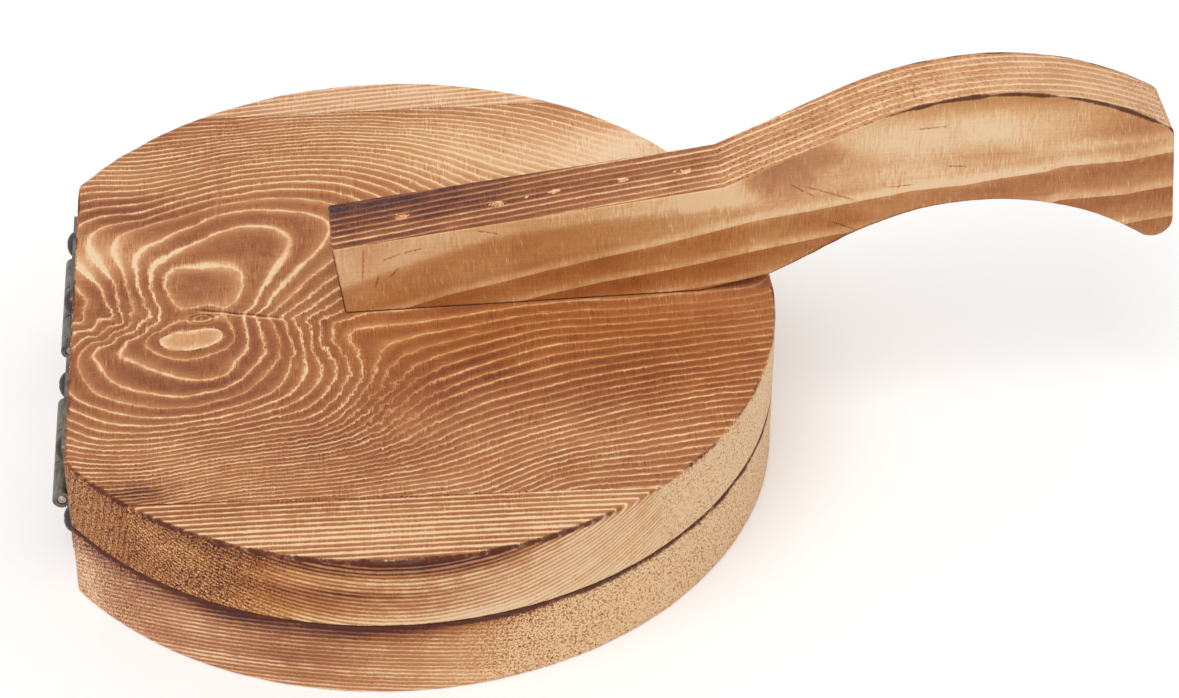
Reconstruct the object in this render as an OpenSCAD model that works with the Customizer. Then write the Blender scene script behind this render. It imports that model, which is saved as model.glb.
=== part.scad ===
// Wooden tortilla press: two round pine boards joined at a flat back by two
// small butt hinges, with a bent wooden lever nailed along the top board.
// Millimetres. Origin at the centre of the base board's underside,
// +X from the hinges towards the lever's grip, +Z up.

/* [Boards] */
// Diameter of the round boards
board_d = 150; // [120:1:220]
// Distance from the round's centre to the flat back
back_x = 61.4; // [50:0.1:66]
// Thickness of the base board
base_t = 16.5; // [13:0.5:25]
// Thickness of the lid board
lid_t = 15.5; // [13:0.5:25]
// Radius of the upright corners where the flat back meets the round
corner_r = 2.5; // [1:0.1:6]
// Width of the broken edge round each board's faces
arris = 0.5; // [0.2:0.1:0.9]

/* [Lid strips] */
// Width of the near strip, from the round's edge to its glue line
near_strip_w = 17.9; // [16:0.1:25]
// Width of the far strip, from the round's edge to its glue line
far_strip_w = 10.2; // [7:0.1:25]
// Slant of the near glue line, in degrees
near_glue_turn = -1.3; // [-2:0.1:2]
// Slant of the far glue line, in degrees
far_glue_turn = 0.5; // [-2:0.1:2]

/* [Lever] */
// Width of the lever's plank
lever_w = 14.5; // [12:0.5:24]
// Place of the lever's foot along the press
foot_x = -8.9; // [-20:0.1:0]
// Place of the lever's centreline at the foot, across the press
foot_y = 4.3; // [-5:0.1:8]
// Turn of the lever from the press's length, in degrees
lever_turn = 1.5; // [-2:0.1:3]
// Height of the lever's front end
front_h = 15.5; // [12:0.5:20]
// Lean of the front end back over the hinges, in degrees
front_lean = 7.3; // [0:0.1:12]
// Slope of the straight top, in degrees
top_slope = 7; // [4:0.5:9]
// Length of the underside that is glued to the lid
seat_len = 69.4; // [64:0.1:72]
// Length from the seat's end to the kink in the top
kink_past = 4; // [0:0.1:8]
// Slope of the underside's gentle lift off the lid, in degrees
lift_slope = 12.2; // [8:0.1:16]
// Slope of the underside's ramp up to the finger arch, in degrees
ramp_slope = 30.5; // [26:0.1:34]

/* [Grip] */
// Radius of the crest on top of the grip
crest_r = 64; // [58:0.5:72]
// Length from the top of the finger arch to the top of the crest
crest_past = 1.3; // [-3:0.1:5]
// Height of the crest above the lid
crest_h = 42.5; // [40:0.1:46]
// Radius of the finger arch under the grip
arch_r = 55.8; // [50:0.1:60]
// Length from the seat's end to the top of the arch
arch_past = 54.2; // [52:0.1:57]
// Height of the arch above the lid
arch_h = 17.8; // [15:0.1:20]
// Length from the top of the arch to the end of the lever's toe
toe_past = 38.8; // [36:0.1:42]
// Radius of the rounded toe
toe_r = 3.8; // [2.5:0.1:5]
// Lean of the grip's end face, in degrees
end_lean = 5.7; // [0:0.1:10]
// Radius of the upper corner of the end face
end_corner_r = 2.5; // [1:0.1:5]

/* [Hinges] */
// Length of a hinge along its pin
hinge_len = 28; // [22:0.5:32]
// Distance from the middle of the pair to each hinge's middle
hinge_at = 22.25; // [20:0.25:25]
// Middle of the pair from the press's centreline
hinge_mid_y = 0.4; // [-1:0.1:1]
// Thickness of the rolled steel sheet
sheet_t = 0.85; // [0.6:0.05:1]
// Width of a leaf from the pin's axis to its free edge
leaf_w = 13; // [12:0.1:13.5]
// Radius of a leaf's two free corners
leaf_corner_r = 1.2; // [0.5:0.1:2.5]
// Diameter of the hinge pin
pin_d = 1.9; // [1.6:0.1:2.4]
// Depth of the small chamfer on each end of the pin
pin_chamfer = 0.2; // [0.1:0.05:0.4]
// Angle round the knuckle at which the rolled sheet ends, in degrees
roll_end_turn = 68; // [62:1:100]
// Width of the slit that the rolled sheet leaves
roll_slit = 0.2; // [0.1:0.05:0.4]

/* [Screws] */
// Distance of the screws from the pin's axis
screw_rise = 8.7; // [8:0.1:9.5]
// Distance between the two screws of a leaf
screw_pitch = 18.7; // [14:0.1:20]
// Diameter of a screw's shank
screw_d = 2.6; // [2:0.1:3]
// Length of a screw below its head
screw_len = 13; // [10:0.5:18]
// Length of a screw's point
screw_tip = 3; // [2:0.5:4]
// Diameter of a screw's round head
head_d = 5.2; // [4.4:0.1:5.6]
// Height of a screw's round head
head_h = 2; // [1.4:0.1:2]
// Width of the arms of the cross recess
recess_w = 0.7; // [0.5:0.1:1]
// Length of the arms of the cross recess
recess_len = 2.8; // [2:0.1:3.4]
// Depth of the cross recess
recess_depth = 0.9; // [0.5:0.1:1.2]

/* [Brads] */
// Places of the brads along the lever from its foot
brad_places = [12, 30, 41, 55, 66]; // [8:0.5:68]
// Diameter of a brad's shank
brad_d = 1.2; // [1:0.1:1.6]
// Length of a brad with its head
brad_len = 28; // [26:0.5:30]
// Length of a brad's point
brad_tip = 2; // [1:0.5:3]
// Diameter of a brad's head
brad_head_d = 2.1; // [1.8:0.1:3]
// Thickness of a brad's head
brad_head_t = 0.6; // [0.4:0.1:1]
// Depth of a brad's head below the lever's top
brad_sink = 0.4; // [0.2:0.1:1]

/* [Fits] */
// Radial clearance of the pin in its knuckles
pin_clear = 0.05; // [0.02:0.01:0.1]
// Gap between neighbouring knuckles
knuckle_gap = 0.2; // [0.1:0.05:0.4]
// Gap between a leaf's notch and the knuckle that turns in it
notch_clear = 0.3; // [0.3:0.05:0.5]
// Radial clearance of a screw in its leaf
leaf_hole_clear = 0.2; // [0.1:0.05:0.3]
// Radial clearance of screws and brads in the wood
pilot_clear = 0.05; // [0.02:0.01:0.1]
// Extra depth of a pilot hole past the fastener's point
pilot_spare = 0.5; // [0.3:0.1:1]

/* [Hidden] */
$fn = 96;
small_fn = 48;
spill = 1;

// Sides of the press: near the user on the left of the lever, and far
NEAR = -1;
FAR = 1;
// Boards that a hinge leaf is screwed to
ON_BASE = -1;
ON_LID = 1;
// Ends of a hinge, counted from the press's centreline
INNER = -1;
OUTER = 1;

board_r = board_d / 2;
near_glue_y = board_r - near_strip_w;
far_glue_y = board_r - far_strip_w;
lid_top = base_t + lid_t;
pin_r = pin_d / 2;
bore_r = pin_r + pin_clear;
knuckle_r = bore_r + sheet_t;
pin_x = -back_x - knuckle_r;
pin_z = base_t;
notch_h = knuckle_r + notch_clear;
seat_x = knuckle_r - sheet_t;
knuckle_len = hinge_len / 3;
head_r = head_d / 2;
screw_r = screw_d / 2;
brad_r = brad_d / 2;
brad_head_r = brad_head_d / 2;
pilot_depth = screw_len - sheet_t + pilot_spare;

steel = "#8a857f";
black_steel = "#3b3838";
nail_steel = "#b9b4aa";

// ---- plane geometry of rounded corners and tangents ----

function unit(v) = v / norm(v);
function heading(a) = [cos(a), sin(a)];

// Centre of a round of radius r that touches, from inside, the circle (c, big_r)
// and the line at distance d from c along the unit normal n; side picks the end.
function round_centre(c, big_r, n, d, r, side) =
    c + (d - r) * n + side * sqrt(pow(big_r - r, 2) - pow(d - r, 2)) * [-n[1], n[0]];

// Sharp corner that a round of radius r at f replaces, between its touching directions a and b
function sharp_corner(f, a, b, r) = f + r * (a + b) / (1 + a * b);

// What that round takes off the corner
module corner_waste(f, a, b, r) {
    over = 1.4;
    difference() {
        polygon([f, f + over * r * a, sharp_corner(f, a, b, over * r), f + over * r * b]);
        translate(f) circle(r);
    }
}

// Point where the upper line from p touches the circle (c, r)
function touch_point(p, c, r) =
    let (reach = norm(c - p), swing = asin(r / reach))
    p + sqrt(reach * reach - r * r) * heading(atan2(c[1] - p[1], c[0] - p[0]) + swing);

// Point where the line from p at slope a crosses the line from q at slope b
function crossing(p, a, q, b) =
    let (along = ((q[1] - p[1]) - (q[0] - p[0]) * tan(b)) / (tan(a) - tan(b)))
    p + along * [1, tan(a)];

// ---- boards ----

// Section that breaks the edge at (w, t) of a board, past its faces by the spill
module arris_section(w, t) {
    polygon([[w - arris - spill, t + spill], [w + spill, t + spill], [w + spill, t - arris - spill]]);
}

// Section of both arrises of a board of thickness t, at distance w
module arris_pair(w, t) {
    arris_section(w, t);
    translate([0, t]) mirror([0, 1]) arris_section(w, t);
}

// Plan of a board: a round with a flat back and two rounded corners
module board_plan() {
    back = [-1, 0];
    difference() {
        circle(board_r);
        translate([-back_x - board_r, -board_r]) square([board_r, board_d]);
        for (side = [NEAR, FAR]) {
            f = round_centre([0, 0], board_r, back, back_x, corner_r, side);
            corner_waste(f, back, unit(f), corner_r);
        }
    }
}

module board(t) {
    difference() {
        linear_extrude(t) board_plan();
        rotate_extrude() arris_pair(board_r, t);
        rotate([90, 0, 0]) linear_extrude(board_d, center = true) mirror([1, 0]) arris_pair(back_x, t);
    }
}

// Half space past a glue line, at distance y on one side, slanted by turn
module past_glue_line(side, y, turn) {
    span = board_d + 2 * spill;
    translate([0, side * y, base_t - spill]) rotate([0, 0, turn])
        translate([-span, side > 0 ? 0 : -span, 0]) cube([2 * span, span, lid_t + 2 * spill]);
}

module lid_board() {
    translate([0, 0, base_t]) board(lid_t);
}

// ---- lever ----

lever_front_top = [-front_h * tan(front_lean), front_h];
function top_height(u) = front_h + (u - lever_front_top[0]) * tan(top_slope);
seat_end = [seat_len, 0];
kink = [seat_len + kink_past, top_height(seat_len + kink_past)];
arch_at = seat_len + arch_past;
crest_c = [arch_at + crest_past, crest_h - crest_r];
arch_c = [arch_at, arch_h - arch_r];
ramp_top = touch_point(kink, crest_c, crest_r);
ramp_bottom = arch_c + arch_r * heading(90 + ramp_slope);
lift_end = crossing(seat_end, lift_slope, ramp_bottom, ramp_slope);
toe_off = toe_past - toe_r;
toe_c = arch_c + [toe_off, sqrt(pow(arch_r + toe_r, 2) - pow(toe_off, 2))];
end_normal = heading(end_lean);
end_far = (toe_c - crest_c) * end_normal + toe_r;
end_c = round_centre(crest_c, crest_r, end_normal, end_far, end_corner_r, 1);
ramp_side = unit(ramp_top - crest_c);
end_side = unit(end_c - crest_c);
arch_side = unit(arch_c - toe_c);

// Side view of the lever: straight foot, ramps tangent to crest and finger arch, rounded toe
module lever_outline() {
    difference() {
        polygon([
            [0, 0], lever_front_top, kink,
            sharp_corner(crest_c, ramp_side, end_side, crest_r),
            sharp_corner(end_c, end_side, end_normal, end_corner_r),
            sharp_corner(toe_c, end_normal, arch_side, toe_r),
            toe_c + toe_r * arch_side, arch_c, ramp_bottom, lift_end, seat_end
        ]);
        corner_waste(crest_c, ramp_side, end_side, crest_r);
        corner_waste(end_c, end_side, end_normal, end_corner_r);
        corner_waste(toe_c, end_normal, arch_side, toe_r);
        translate(arch_c) circle(arch_r);
    }
}

// Places its children in the lever's frame: foot at the origin, +X along the lever
module in_lever_frame() {
    translate([foot_x, foot_y, lid_top]) rotate([0, 0, lever_turn]) children();
}

// A brad with its head's top at the origin, or the hole for it when clear > 0
module brad(clear) {
    r = brad_r + clear;
    head_top = clear > 0 ? spill : 0;
    point = brad_len + (clear > 0 ? pilot_spare : 0);
    $fn = small_fn;
    translate([0, 0, -brad_head_t]) cylinder(r = brad_head_r + clear, h = brad_head_t + head_top);
    translate([0, 0, -point]) cylinder(r1 = clear, r2 = r, h = brad_tip);
    translate([0, 0, brad_tip - point]) cylinder(r = r, h = point - brad_tip - brad_head_t);
}

module brads(clear) {
    in_lever_frame() for (u = brad_places) translate([u, 0, top_height(u) - brad_sink]) brad(clear);
}

// ---- hinges, in the pin's frame: pin along Y, wood at x = knuckle_r ----

module at_hinge(side) {
    translate([pin_x, hinge_mid_y + side * hinge_at, pin_z]) children();
}

// Spans along the pin of a leaf's own knuckles, as [start, end]: the middle one or both outer ones
middle_end = (knuckle_len - knuckle_gap) / 2;
outer_start = (knuckle_len + knuckle_gap) / 2;
function knuckle_spans(on) = on == ON_LID
    ? [[-middle_end, middle_end]]
    : [[-hinge_len / 2, -outer_start], [outer_start, hinge_len / 2]];

// Place of a screw in its leaf, as [y, z]
function screw_place(on, end) = [end * screw_pitch / 2, on * screw_rise];

// Cylinder along the pin's direction from y0 to y1
module along_pin(r, y0, y1) {
    translate([0, y0, 0]) rotate([-90, 0, 0]) cylinder(r = r, h = y1 - y0, $fn = small_fn);
}

// Flat part of a leaf above its notches, drawn in the Y-Z plane
module plate_outline() {
    half = hinge_len / 2;
    difference() {
        translate([-half, notch_h]) square([hinge_len, leaf_w - notch_h]);
        for (s = [-1, 1]) {
            f = [s * (half - leaf_corner_r), leaf_w - leaf_corner_r];
            corner_waste(f, [s, 0], [0, 1], leaf_corner_r);
        }
    }
}

// One leaf: flat plate, rolled knuckles, the slit of the roll and two screw holes
module leaf(on) {
    color(steel) mirror([0, 0, on == ON_LID ? 0 : 1]) difference() {
        union() {
            translate([seat_x, 0, 0]) rotate([90, 0, 90]) linear_extrude(sheet_t) {
                plate_outline();
                for (s = knuckle_spans(on)) translate([s[0], 0]) square([s[1] - s[0], notch_h]);
            }
            for (s = knuckle_spans(on)) along_pin(knuckle_r, s[0], s[1]);
        }
        along_pin(bore_r, -hinge_len / 2 - spill, hinge_len / 2 + spill);
        rotate([0, -roll_end_turn, 0]) translate([0, -hinge_len / 2 - spill, -roll_slit / 2])
            cube([knuckle_r + spill, hinge_len + 2 * spill, roll_slit]);
        for (end = [INNER, OUTER]) {
            p = screw_place(ON_LID, end);
            translate([0, p[0], p[1]]) rotate([0, 90, 0])
                cylinder(r = screw_r + leaf_hole_clear, h = knuckle_r + spill, $fn = small_fn);
        }
    }
}

module hinge_pin() {
    color(steel) {
        body = hinge_len - 2 * pin_chamfer;
        along_pin(pin_r, -body / 2, body / 2);
        for (s = [-1, 1]) translate([0, s * body / 2, 0]) rotate([-90 * s, 0, 0])
            cylinder(r1 = pin_r, r2 = pin_r - pin_chamfer, h = pin_chamfer, $fn = small_fn);
    }
}

// ---- screws, along +X with the head's seat at the origin ----

module screw() {
    dome_r = (head_r * head_r + head_h * head_h) / (2 * head_h);
    shank = screw_len - screw_tip;
    $fn = small_fn;
    color(black_steel) difference() {
        rotate([0, 90, 0]) {
            rotate([180, 0, 0]) rotate_extrude() intersection() {
                translate([0, head_h - dome_r]) circle(dome_r);
                square([head_r, head_h]);
            }
            cylinder(r = screw_r, h = shank);
            translate([0, 0, shank]) cylinder(r1 = screw_r, r2 = 0, h = screw_tip);
        }
        for (a = [45, 135]) translate([-head_h, 0, 0]) rotate([a, 0, 0])
            cube([2 * recess_depth, recess_w, recess_len], center = true);
    }
}

module pilot_hole() {
    rotate([0, 90, 0]) translate([0, 0, -spill])
        cylinder(r = screw_r + pilot_clear, h = pilot_depth + spill, $fn = small_fn);
}

// Puts its children at one screw's place, dx from the pin's axis
module at_screw(side, on, end, dx) {
    p = screw_place(on, side * end);
    at_hinge(side) translate([dx, p[0], p[1]]) children();
}

module pilot_holes(on) {
    for (side = [NEAR, FAR], end = [INNER, OUTER]) at_screw(side, on, end, knuckle_r) pilot_hole();
}

// ---- the press's pieces ----

module base_board() {
    color("#c99a66") difference() {
        board(base_t);
        pilot_holes(ON_BASE);
    }
}

module lid_strip_near() {
    color("#d9a56d") intersection() {
        lid_board();
        past_glue_line(NEAR, near_glue_y, near_glue_turn);
    }
}

module lid_strip_far() {
    color("#dba973") intersection() {
        lid_board();
        past_glue_line(FAR, far_glue_y, far_glue_turn);
    }
}

module lid_strip_middle() {
    color("#b9744a") difference() {
        lid_board();
        past_glue_line(NEAR, near_glue_y, near_glue_turn);
        past_glue_line(FAR, far_glue_y, far_glue_turn);
        pilot_holes(ON_LID);
        brads(pilot_clear);
    }
}

module lever() {
    color("#c98c55") difference() {
        in_lever_frame() rotate([90, 0, 0]) linear_extrude(lever_w, center = true) lever_outline();
        brads(pilot_clear);
    }
}

module lever_brads() {
    color(nail_steel) brads(0);
}

base_board();
lid_strip_near();
lid_strip_middle();
lid_strip_far();
lever();
lever_brads();
at_hinge(NEAR) leaf(ON_BASE);  // near_hinge_base_leaf
at_hinge(NEAR) leaf(ON_LID);  // near_hinge_lid_leaf
at_hinge(NEAR) hinge_pin();  // near_hinge_pin
at_hinge(FAR) leaf(ON_BASE);  // far_hinge_base_leaf
at_hinge(FAR) leaf(ON_LID);  // far_hinge_lid_leaf
at_hinge(FAR) hinge_pin();  // far_hinge_pin
at_screw(NEAR, ON_BASE, OUTER, seat_x) screw();  // near_base_screw_outer
at_screw(NEAR, ON_BASE, INNER, seat_x) screw();  // near_base_screw_inner
at_screw(NEAR, ON_LID, OUTER, seat_x) screw();  // near_lid_screw_outer
at_screw(NEAR, ON_LID, INNER, seat_x) screw();  // near_lid_screw_inner
at_screw(FAR, ON_BASE, OUTER, seat_x) screw();  // far_base_screw_outer
at_screw(FAR, ON_BASE, INNER, seat_x) screw();  // far_base_screw_inner
at_screw(FAR, ON_LID, OUTER, seat_x) screw();  // far_lid_screw_outer
at_screw(FAR, ON_LID, INNER, seat_x) screw();  // far_lid_screw_inner
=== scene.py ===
"""Looks of a wooden tortilla press: two round pine boards, a nailed lever and two butt hinges.

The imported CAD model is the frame. The boards and the lever are replaced by finer meshes with worn
edges, and every piece gets a finish made of shader nodes. Sizes here are millimetres until a mesh
is written, and Blender's metres after that.
"""

import logging
import math
from collections.abc import Callable, Sequence
from dataclasses import dataclass, field
from enum import Enum
from typing import ClassVar

import bpy
import numpy as np
from mathutils import Matrix, Vector


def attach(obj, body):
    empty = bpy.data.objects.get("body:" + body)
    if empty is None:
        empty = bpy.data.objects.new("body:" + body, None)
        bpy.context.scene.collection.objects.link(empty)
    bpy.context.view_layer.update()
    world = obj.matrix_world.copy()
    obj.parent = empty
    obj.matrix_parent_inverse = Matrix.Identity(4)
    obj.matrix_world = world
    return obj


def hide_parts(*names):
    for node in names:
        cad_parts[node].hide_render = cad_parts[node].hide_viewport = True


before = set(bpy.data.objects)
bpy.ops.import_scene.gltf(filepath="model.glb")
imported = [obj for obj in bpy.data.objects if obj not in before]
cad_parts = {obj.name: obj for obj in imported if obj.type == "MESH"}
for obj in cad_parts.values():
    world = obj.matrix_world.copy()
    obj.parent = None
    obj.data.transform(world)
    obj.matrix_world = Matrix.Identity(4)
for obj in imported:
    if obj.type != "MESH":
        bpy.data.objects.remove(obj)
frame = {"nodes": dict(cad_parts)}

LOG = logging.getLogger("tortilla_press")
MM = 0.001
Array = np.ndarray
Material = bpy.types.Material
Colour = tuple[float, float, float]
Triple = tuple[float, float, float]
# (amount, middle x, middle y, reach x, reach y) of each soft patch of a field
Patches = tuple[tuple[float, float, float, float, float], ...]
# one value per place, from the places and the normals there
Field = Callable[[Array, Array], Array]


class Body(Enum):
    """The two bodies that the hinge joins."""

    BASE = "base"
    LID = "lid"


# ---- plain helpers

# how many waves make a wavering field, and the shortest and longest over its middle wavelength
WAVES = 7
WAVE_SPREAD = (0.7, 1.5)


def paint(red: int, green: int, blue: int) -> Colour:
    """Linear colour of an 8-bit screen colour, by the sRGB curve."""
    return tuple(
        c / 12.92 if c <= 0.04045 else ((c + 0.055) / 1.055) ** 2.4
        for c in (red / 255, green / 255, blue / 255)
    )


def smooth(low: float, high: float, value: Array) -> Array:
    """Rises from 0 at low to 1 at high as 3t^2 - 2t^3; low may be the larger."""
    t = np.clip((value - low) / (high - low), 0, 1)
    return t * t * (3 - 2 * t)


def blob(x: Array, y: Array, cx: float, cy: float, rx: float, ry: float) -> Array:
    """A soft spot, 1 in its middle: exp(-((x - cx) / rx)^2 - ((y - cy) / ry)^2)."""
    return np.exp(-(((x - cx) / rx) ** 2) - ((y - cy) / ry) ** 2)


def patched(x: Array, y: Array, start: Array | float, patches: Patches) -> Array:
    """Adds soft patches to a field: start + the sum of amount * blob.

    Args:
        x, y: places.
        start: the field without them.
        patches: the amount, middle and reach of each.
    Returns:
        The field with them.
    """
    total = start
    for amount, *spot in patches:
        total = total + amount * blob(x, y, *spot)
    return total


def waver(places: Array, wavelength: float, seed: int) -> Array:
    """A smooth random field: the mean of plane sine waves with seeded directions and phases.

    Args:
        places: N x 3 points.
        wavelength: the middle wavelength.
        seed: picks the waves.
    Returns:
        One value per point, about -1 to 1.
    """
    rng = np.random.default_rng(seed)
    ways = rng.normal(size=(WAVES, 3))
    ways /= np.linalg.norm(ways, axis=1)[:, None]
    turns = 2 * math.pi / (wavelength * rng.uniform(*WAVE_SPREAD, WAVES))
    phase = rng.uniform(0, 2 * math.pi, WAVES)
    return np.sin(places @ (ways * turns[:, None]).T + phase).sum(1) / math.sqrt(2 * WAVES)


def by_facing(n: Array, flat: Array | float, upright: Array | float) -> Array:
    """Blends a level surface's value with an upright one's, which has a share of 1 - |n_z|."""
    side = 1 - np.abs(n[:, 2])
    return flat * (1 - side) + upright * side


def round_turn(p: Array) -> Array:
    """Degrees round the press from its near side, towards the front."""
    return np.degrees(np.arctan2(p[:, 1], p[:, 0])) + 90


def put(name: str, data: bpy.types.ID) -> bpy.types.Object:
    """Puts a new object with this data into the scene."""
    made = bpy.data.objects.new(name, data)
    bpy.context.scene.collection.objects.link(made)
    return made


# ---- shader graph


class Shade:
    """A number or colour that flows through a material's nodes, with plain arithmetic on it."""

    def __init__(self, graph: "Graph", socket: bpy.types.NodeSocket) -> None:
        """Keeps the graph and the socket that the value comes from."""
        self.graph, self.socket = graph, socket

    def __add__(self, other: "Shade | float") -> "Shade":
        """Sum."""
        return self.graph.math("ADD", self, other)

    def __sub__(self, other: "Shade | float") -> "Shade":
        """Difference."""
        return self.graph.math("SUBTRACT", self, other)

    def __rsub__(self, other: float) -> "Shade":
        """Difference."""
        return self.graph.math("SUBTRACT", other, self)

    def __mul__(self, other: "Shade | float") -> "Shade":
        """Product."""
        return self.graph.math("MULTIPLY", self, other)

    def __truediv__(self, other: "Shade | float") -> "Shade":
        """Quotient."""
        return self.graph.math("DIVIDE", self, other)

    __radd__, __rmul__ = __add__, __mul__

    def step(self, low: float, high: float) -> "Shade":
        """Eased share of the way from low to high, 0 to 1."""
        node = self.graph.node("ShaderNodeMapRange", interpolation_type="SMOOTHSTEP")
        self.graph.link(self, node.inputs["Value"])
        for name, number in (("From Min", low), ("From Max", high)):
            node.inputs[name].default_value = number
        return Shade(self.graph, node.outputs["Result"])


class Graph:
    """The node tree of one material."""

    # how the nodes are laid out: nodes in a row, and the steps across and down
    PER_ROW, ACROSS, DOWN = 12, -220, -180
    # a colour Mix node's sockets for the share and the two colours, and its colour output
    MIX_IN, MIX_OUT = (0, 6, 7), 2

    def __init__(self, name: str) -> None:
        """Starts a material with one shader."""
        self.material = bpy.data.materials.new(name)
        self.material.use_nodes = True
        self.tree = self.material.node_tree
        self.shader = self.tree.nodes["Principled BSDF"]
        self.count = 0

    def node(self, kind: str, **settings: object) -> bpy.types.Node:
        """Adds a node.

        Args:
            kind: the node's type.
            settings: its properties.
        Returns:
            The node.
        """
        made = self.tree.nodes.new(kind)
        for key, value in settings.items():
            setattr(made, key, value)
        row, place = divmod(self.count, self.PER_ROW)
        made.location = (self.ACROSS * (place + 1), self.DOWN * row)
        self.count += 1
        return made

    def link(self, value: "Shade | float | Colour", socket: bpy.types.NodeSocket) -> None:
        """Feeds a socket with a flowing value, or sets it."""
        if isinstance(value, Shade):
            self.tree.links.new(value.socket, socket)
        elif isinstance(value, tuple):
            socket.default_value = (*value, 1.0) if len(socket.default_value) == 4 else value
        else:
            socket.default_value = value

    def math(self, operation: str, *values: "Shade | float") -> Shade:
        """One step of arithmetic, by a Math node's operation."""
        made = self.node("ShaderNodeMath", operation=operation)
        for value, socket in zip(values, made.inputs):
            self.link(value, socket)
        return Shade(self, made.outputs[0])

    def attribute(self, name: str) -> Shade:
        """A number stored at the mesh's points."""
        made = self.node("ShaderNodeAttribute", attribute_name=name)
        return Shade(self, made.outputs["Fac"])

    def place(
        self, stretch: Sequence[float] = (1, 1, 1), shift: Sequence[float] = (0, 0, 0),
        turn: Sequence[float] = (0, 0, 0),
    ) -> Shade:
        """The place on the piece in millimetres, stretched for a pattern.

        Args:
            stretch: factor along each axis, after the turn.
            shift: offset, after the stretch.
            turn: rotation in degrees about each axis.
        Returns:
            The vector.
        """
        source = self.node("ShaderNodeTexCoord")
        turned = self.node("ShaderNodeMapping")
        self.tree.links.new(source.outputs["Object"], turned.inputs["Vector"])
        turned.inputs["Scale"].default_value = [1 / MM] * 3
        turned.inputs["Rotation"].default_value = [math.radians(a) for a in turn]
        made = self.node("ShaderNodeMapping")
        self.tree.links.new(turned.outputs["Vector"], made.inputs["Vector"])
        made.inputs["Scale"].default_value = stretch
        made.inputs["Location"].default_value = shift
        return Shade(self, made.outputs["Vector"])

    def noise(
        self, where: Shade, size: float, detail: float = 2.0, rough: float = 0.5
    ) -> Shade:
        """Cloudy noise around 0, about -1 to 1.

        Args:
            where: the place.
            size: length of a cloud, in the place's own unit.
            detail, rough: how many finer layers it has, and their strength.
        Returns:
            The noise less one half, stretched.
        """
        made = self.node("ShaderNodeTexNoise")
        self.link(where, made.inputs["Vector"])
        for name, number in (("Scale", 1 / size), ("Detail", detail), ("Roughness", rough)):
            made.inputs[name].default_value = number
        return (Shade(self, made.outputs["Fac"]) - 0.5) * NOISE_GAIN

    def chance(self, number: Shade) -> Shade:
        """A fixed random value from 0 to 1 for each whole number."""
        made = self.node("ShaderNodeTexWhiteNoise", noise_dimensions="1D")
        self.link(number, made.inputs["W"])
        return Shade(self, made.outputs["Value"])

    def spots(self, where: Shade, size: float, jitter: float = 1.0) -> Shade:
        """Distance to the nearest of scattered points, in cells of the given size."""
        made = self.node("ShaderNodeTexVoronoi")
        self.link(where, made.inputs["Vector"])
        made.inputs["Scale"].default_value = 1 / size
        made.inputs["Randomness"].default_value = jitter
        return Shade(self, made.outputs["Distance"])

    def ramp(self, value: Shade, colours: Sequence[tuple[int, int, int]]) -> Shade:
        """A colour by a number, blended evenly between the stops of DEPTHS.

        Args:
            value: the number.
            colours: the screen colour at each stop.
        Returns:
            The colour.
        """
        made = self.node("ShaderNodeValToRGB")
        ramp = made.color_ramp
        while len(ramp.elements) < len(colours):
            ramp.elements.new(0.5)
        for element, at, colour in zip(ramp.elements, DEPTHS, colours):
            element.position = at
            element.color = (*paint(*colour), 1.0)
        self.link(value, made.inputs["Fac"])
        return Shade(self, made.outputs["Color"])

    def length(self, vector: Shade) -> Shade:
        """Length of a vector."""
        made = self.node("ShaderNodeVectorMath", operation="LENGTH")
        self.link(vector, made.inputs[0])
        return Shade(self, made.outputs["Value"])

    def part(self, vector: Shade, axis: str) -> Shade:
        """One component of a vector."""
        made = self.node("ShaderNodeSeparateXYZ")
        self.link(vector, made.inputs[0])
        return Shade(self, made.outputs[axis])

    def mix(self, share: "Shade | float", low: "Shade | Colour", high: "Shade | Colour") -> Shade:
        """Blend of two colours: all low at share 0, all high at 1."""
        made = self.node("ShaderNodeMix", data_type="RGBA")
        for value, socket in zip((share, low, high), self.MIX_IN):
            self.link(value, made.inputs[socket])
        return Shade(self, made.outputs[self.MIX_OUT])

    def relief(self, height: Shade, depth_mm: float, strength: float = 1.0) -> None:
        """Bump on the shader's normal, from a height of 0 to 1 and its depth in millimetres."""
        made = self.node("ShaderNodeBump")
        made.inputs["Strength"].default_value = strength
        made.inputs["Distance"].default_value = depth_mm * MM
        self.link(height, made.inputs["Height"])
        self.tree.links.new(made.outputs["Normal"], self.shader.inputs["Normal"])


# ---- finishes

# Torched pine's screen colours at these depths of burn, where it tans and where it turns red
DEPTHS = (0.00, 0.12, 0.24, 0.38, 0.52, 0.66, 0.78, 0.88, 0.95, 1.00)
TAN_BURN = (
    (248, 216, 182), (240, 193, 152), (227, 170, 128), (208, 149, 108), (188, 129, 90),
    (168, 109, 75), (148, 91, 64), (118, 72, 54), (92, 56, 51), (68, 45, 50),
)
GOLD_BURN = (
    (254, 217, 166), (240, 193, 138), (219, 166, 108), (203, 142, 84), (187, 120, 65),
    (170, 100, 52), (150, 82, 44), (122, 66, 42), (94, 53, 42), (70, 42, 40),
)
# How far the raw noise is stretched so that it spans about -1 to 1
NOISE_GAIN = 5.0


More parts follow.
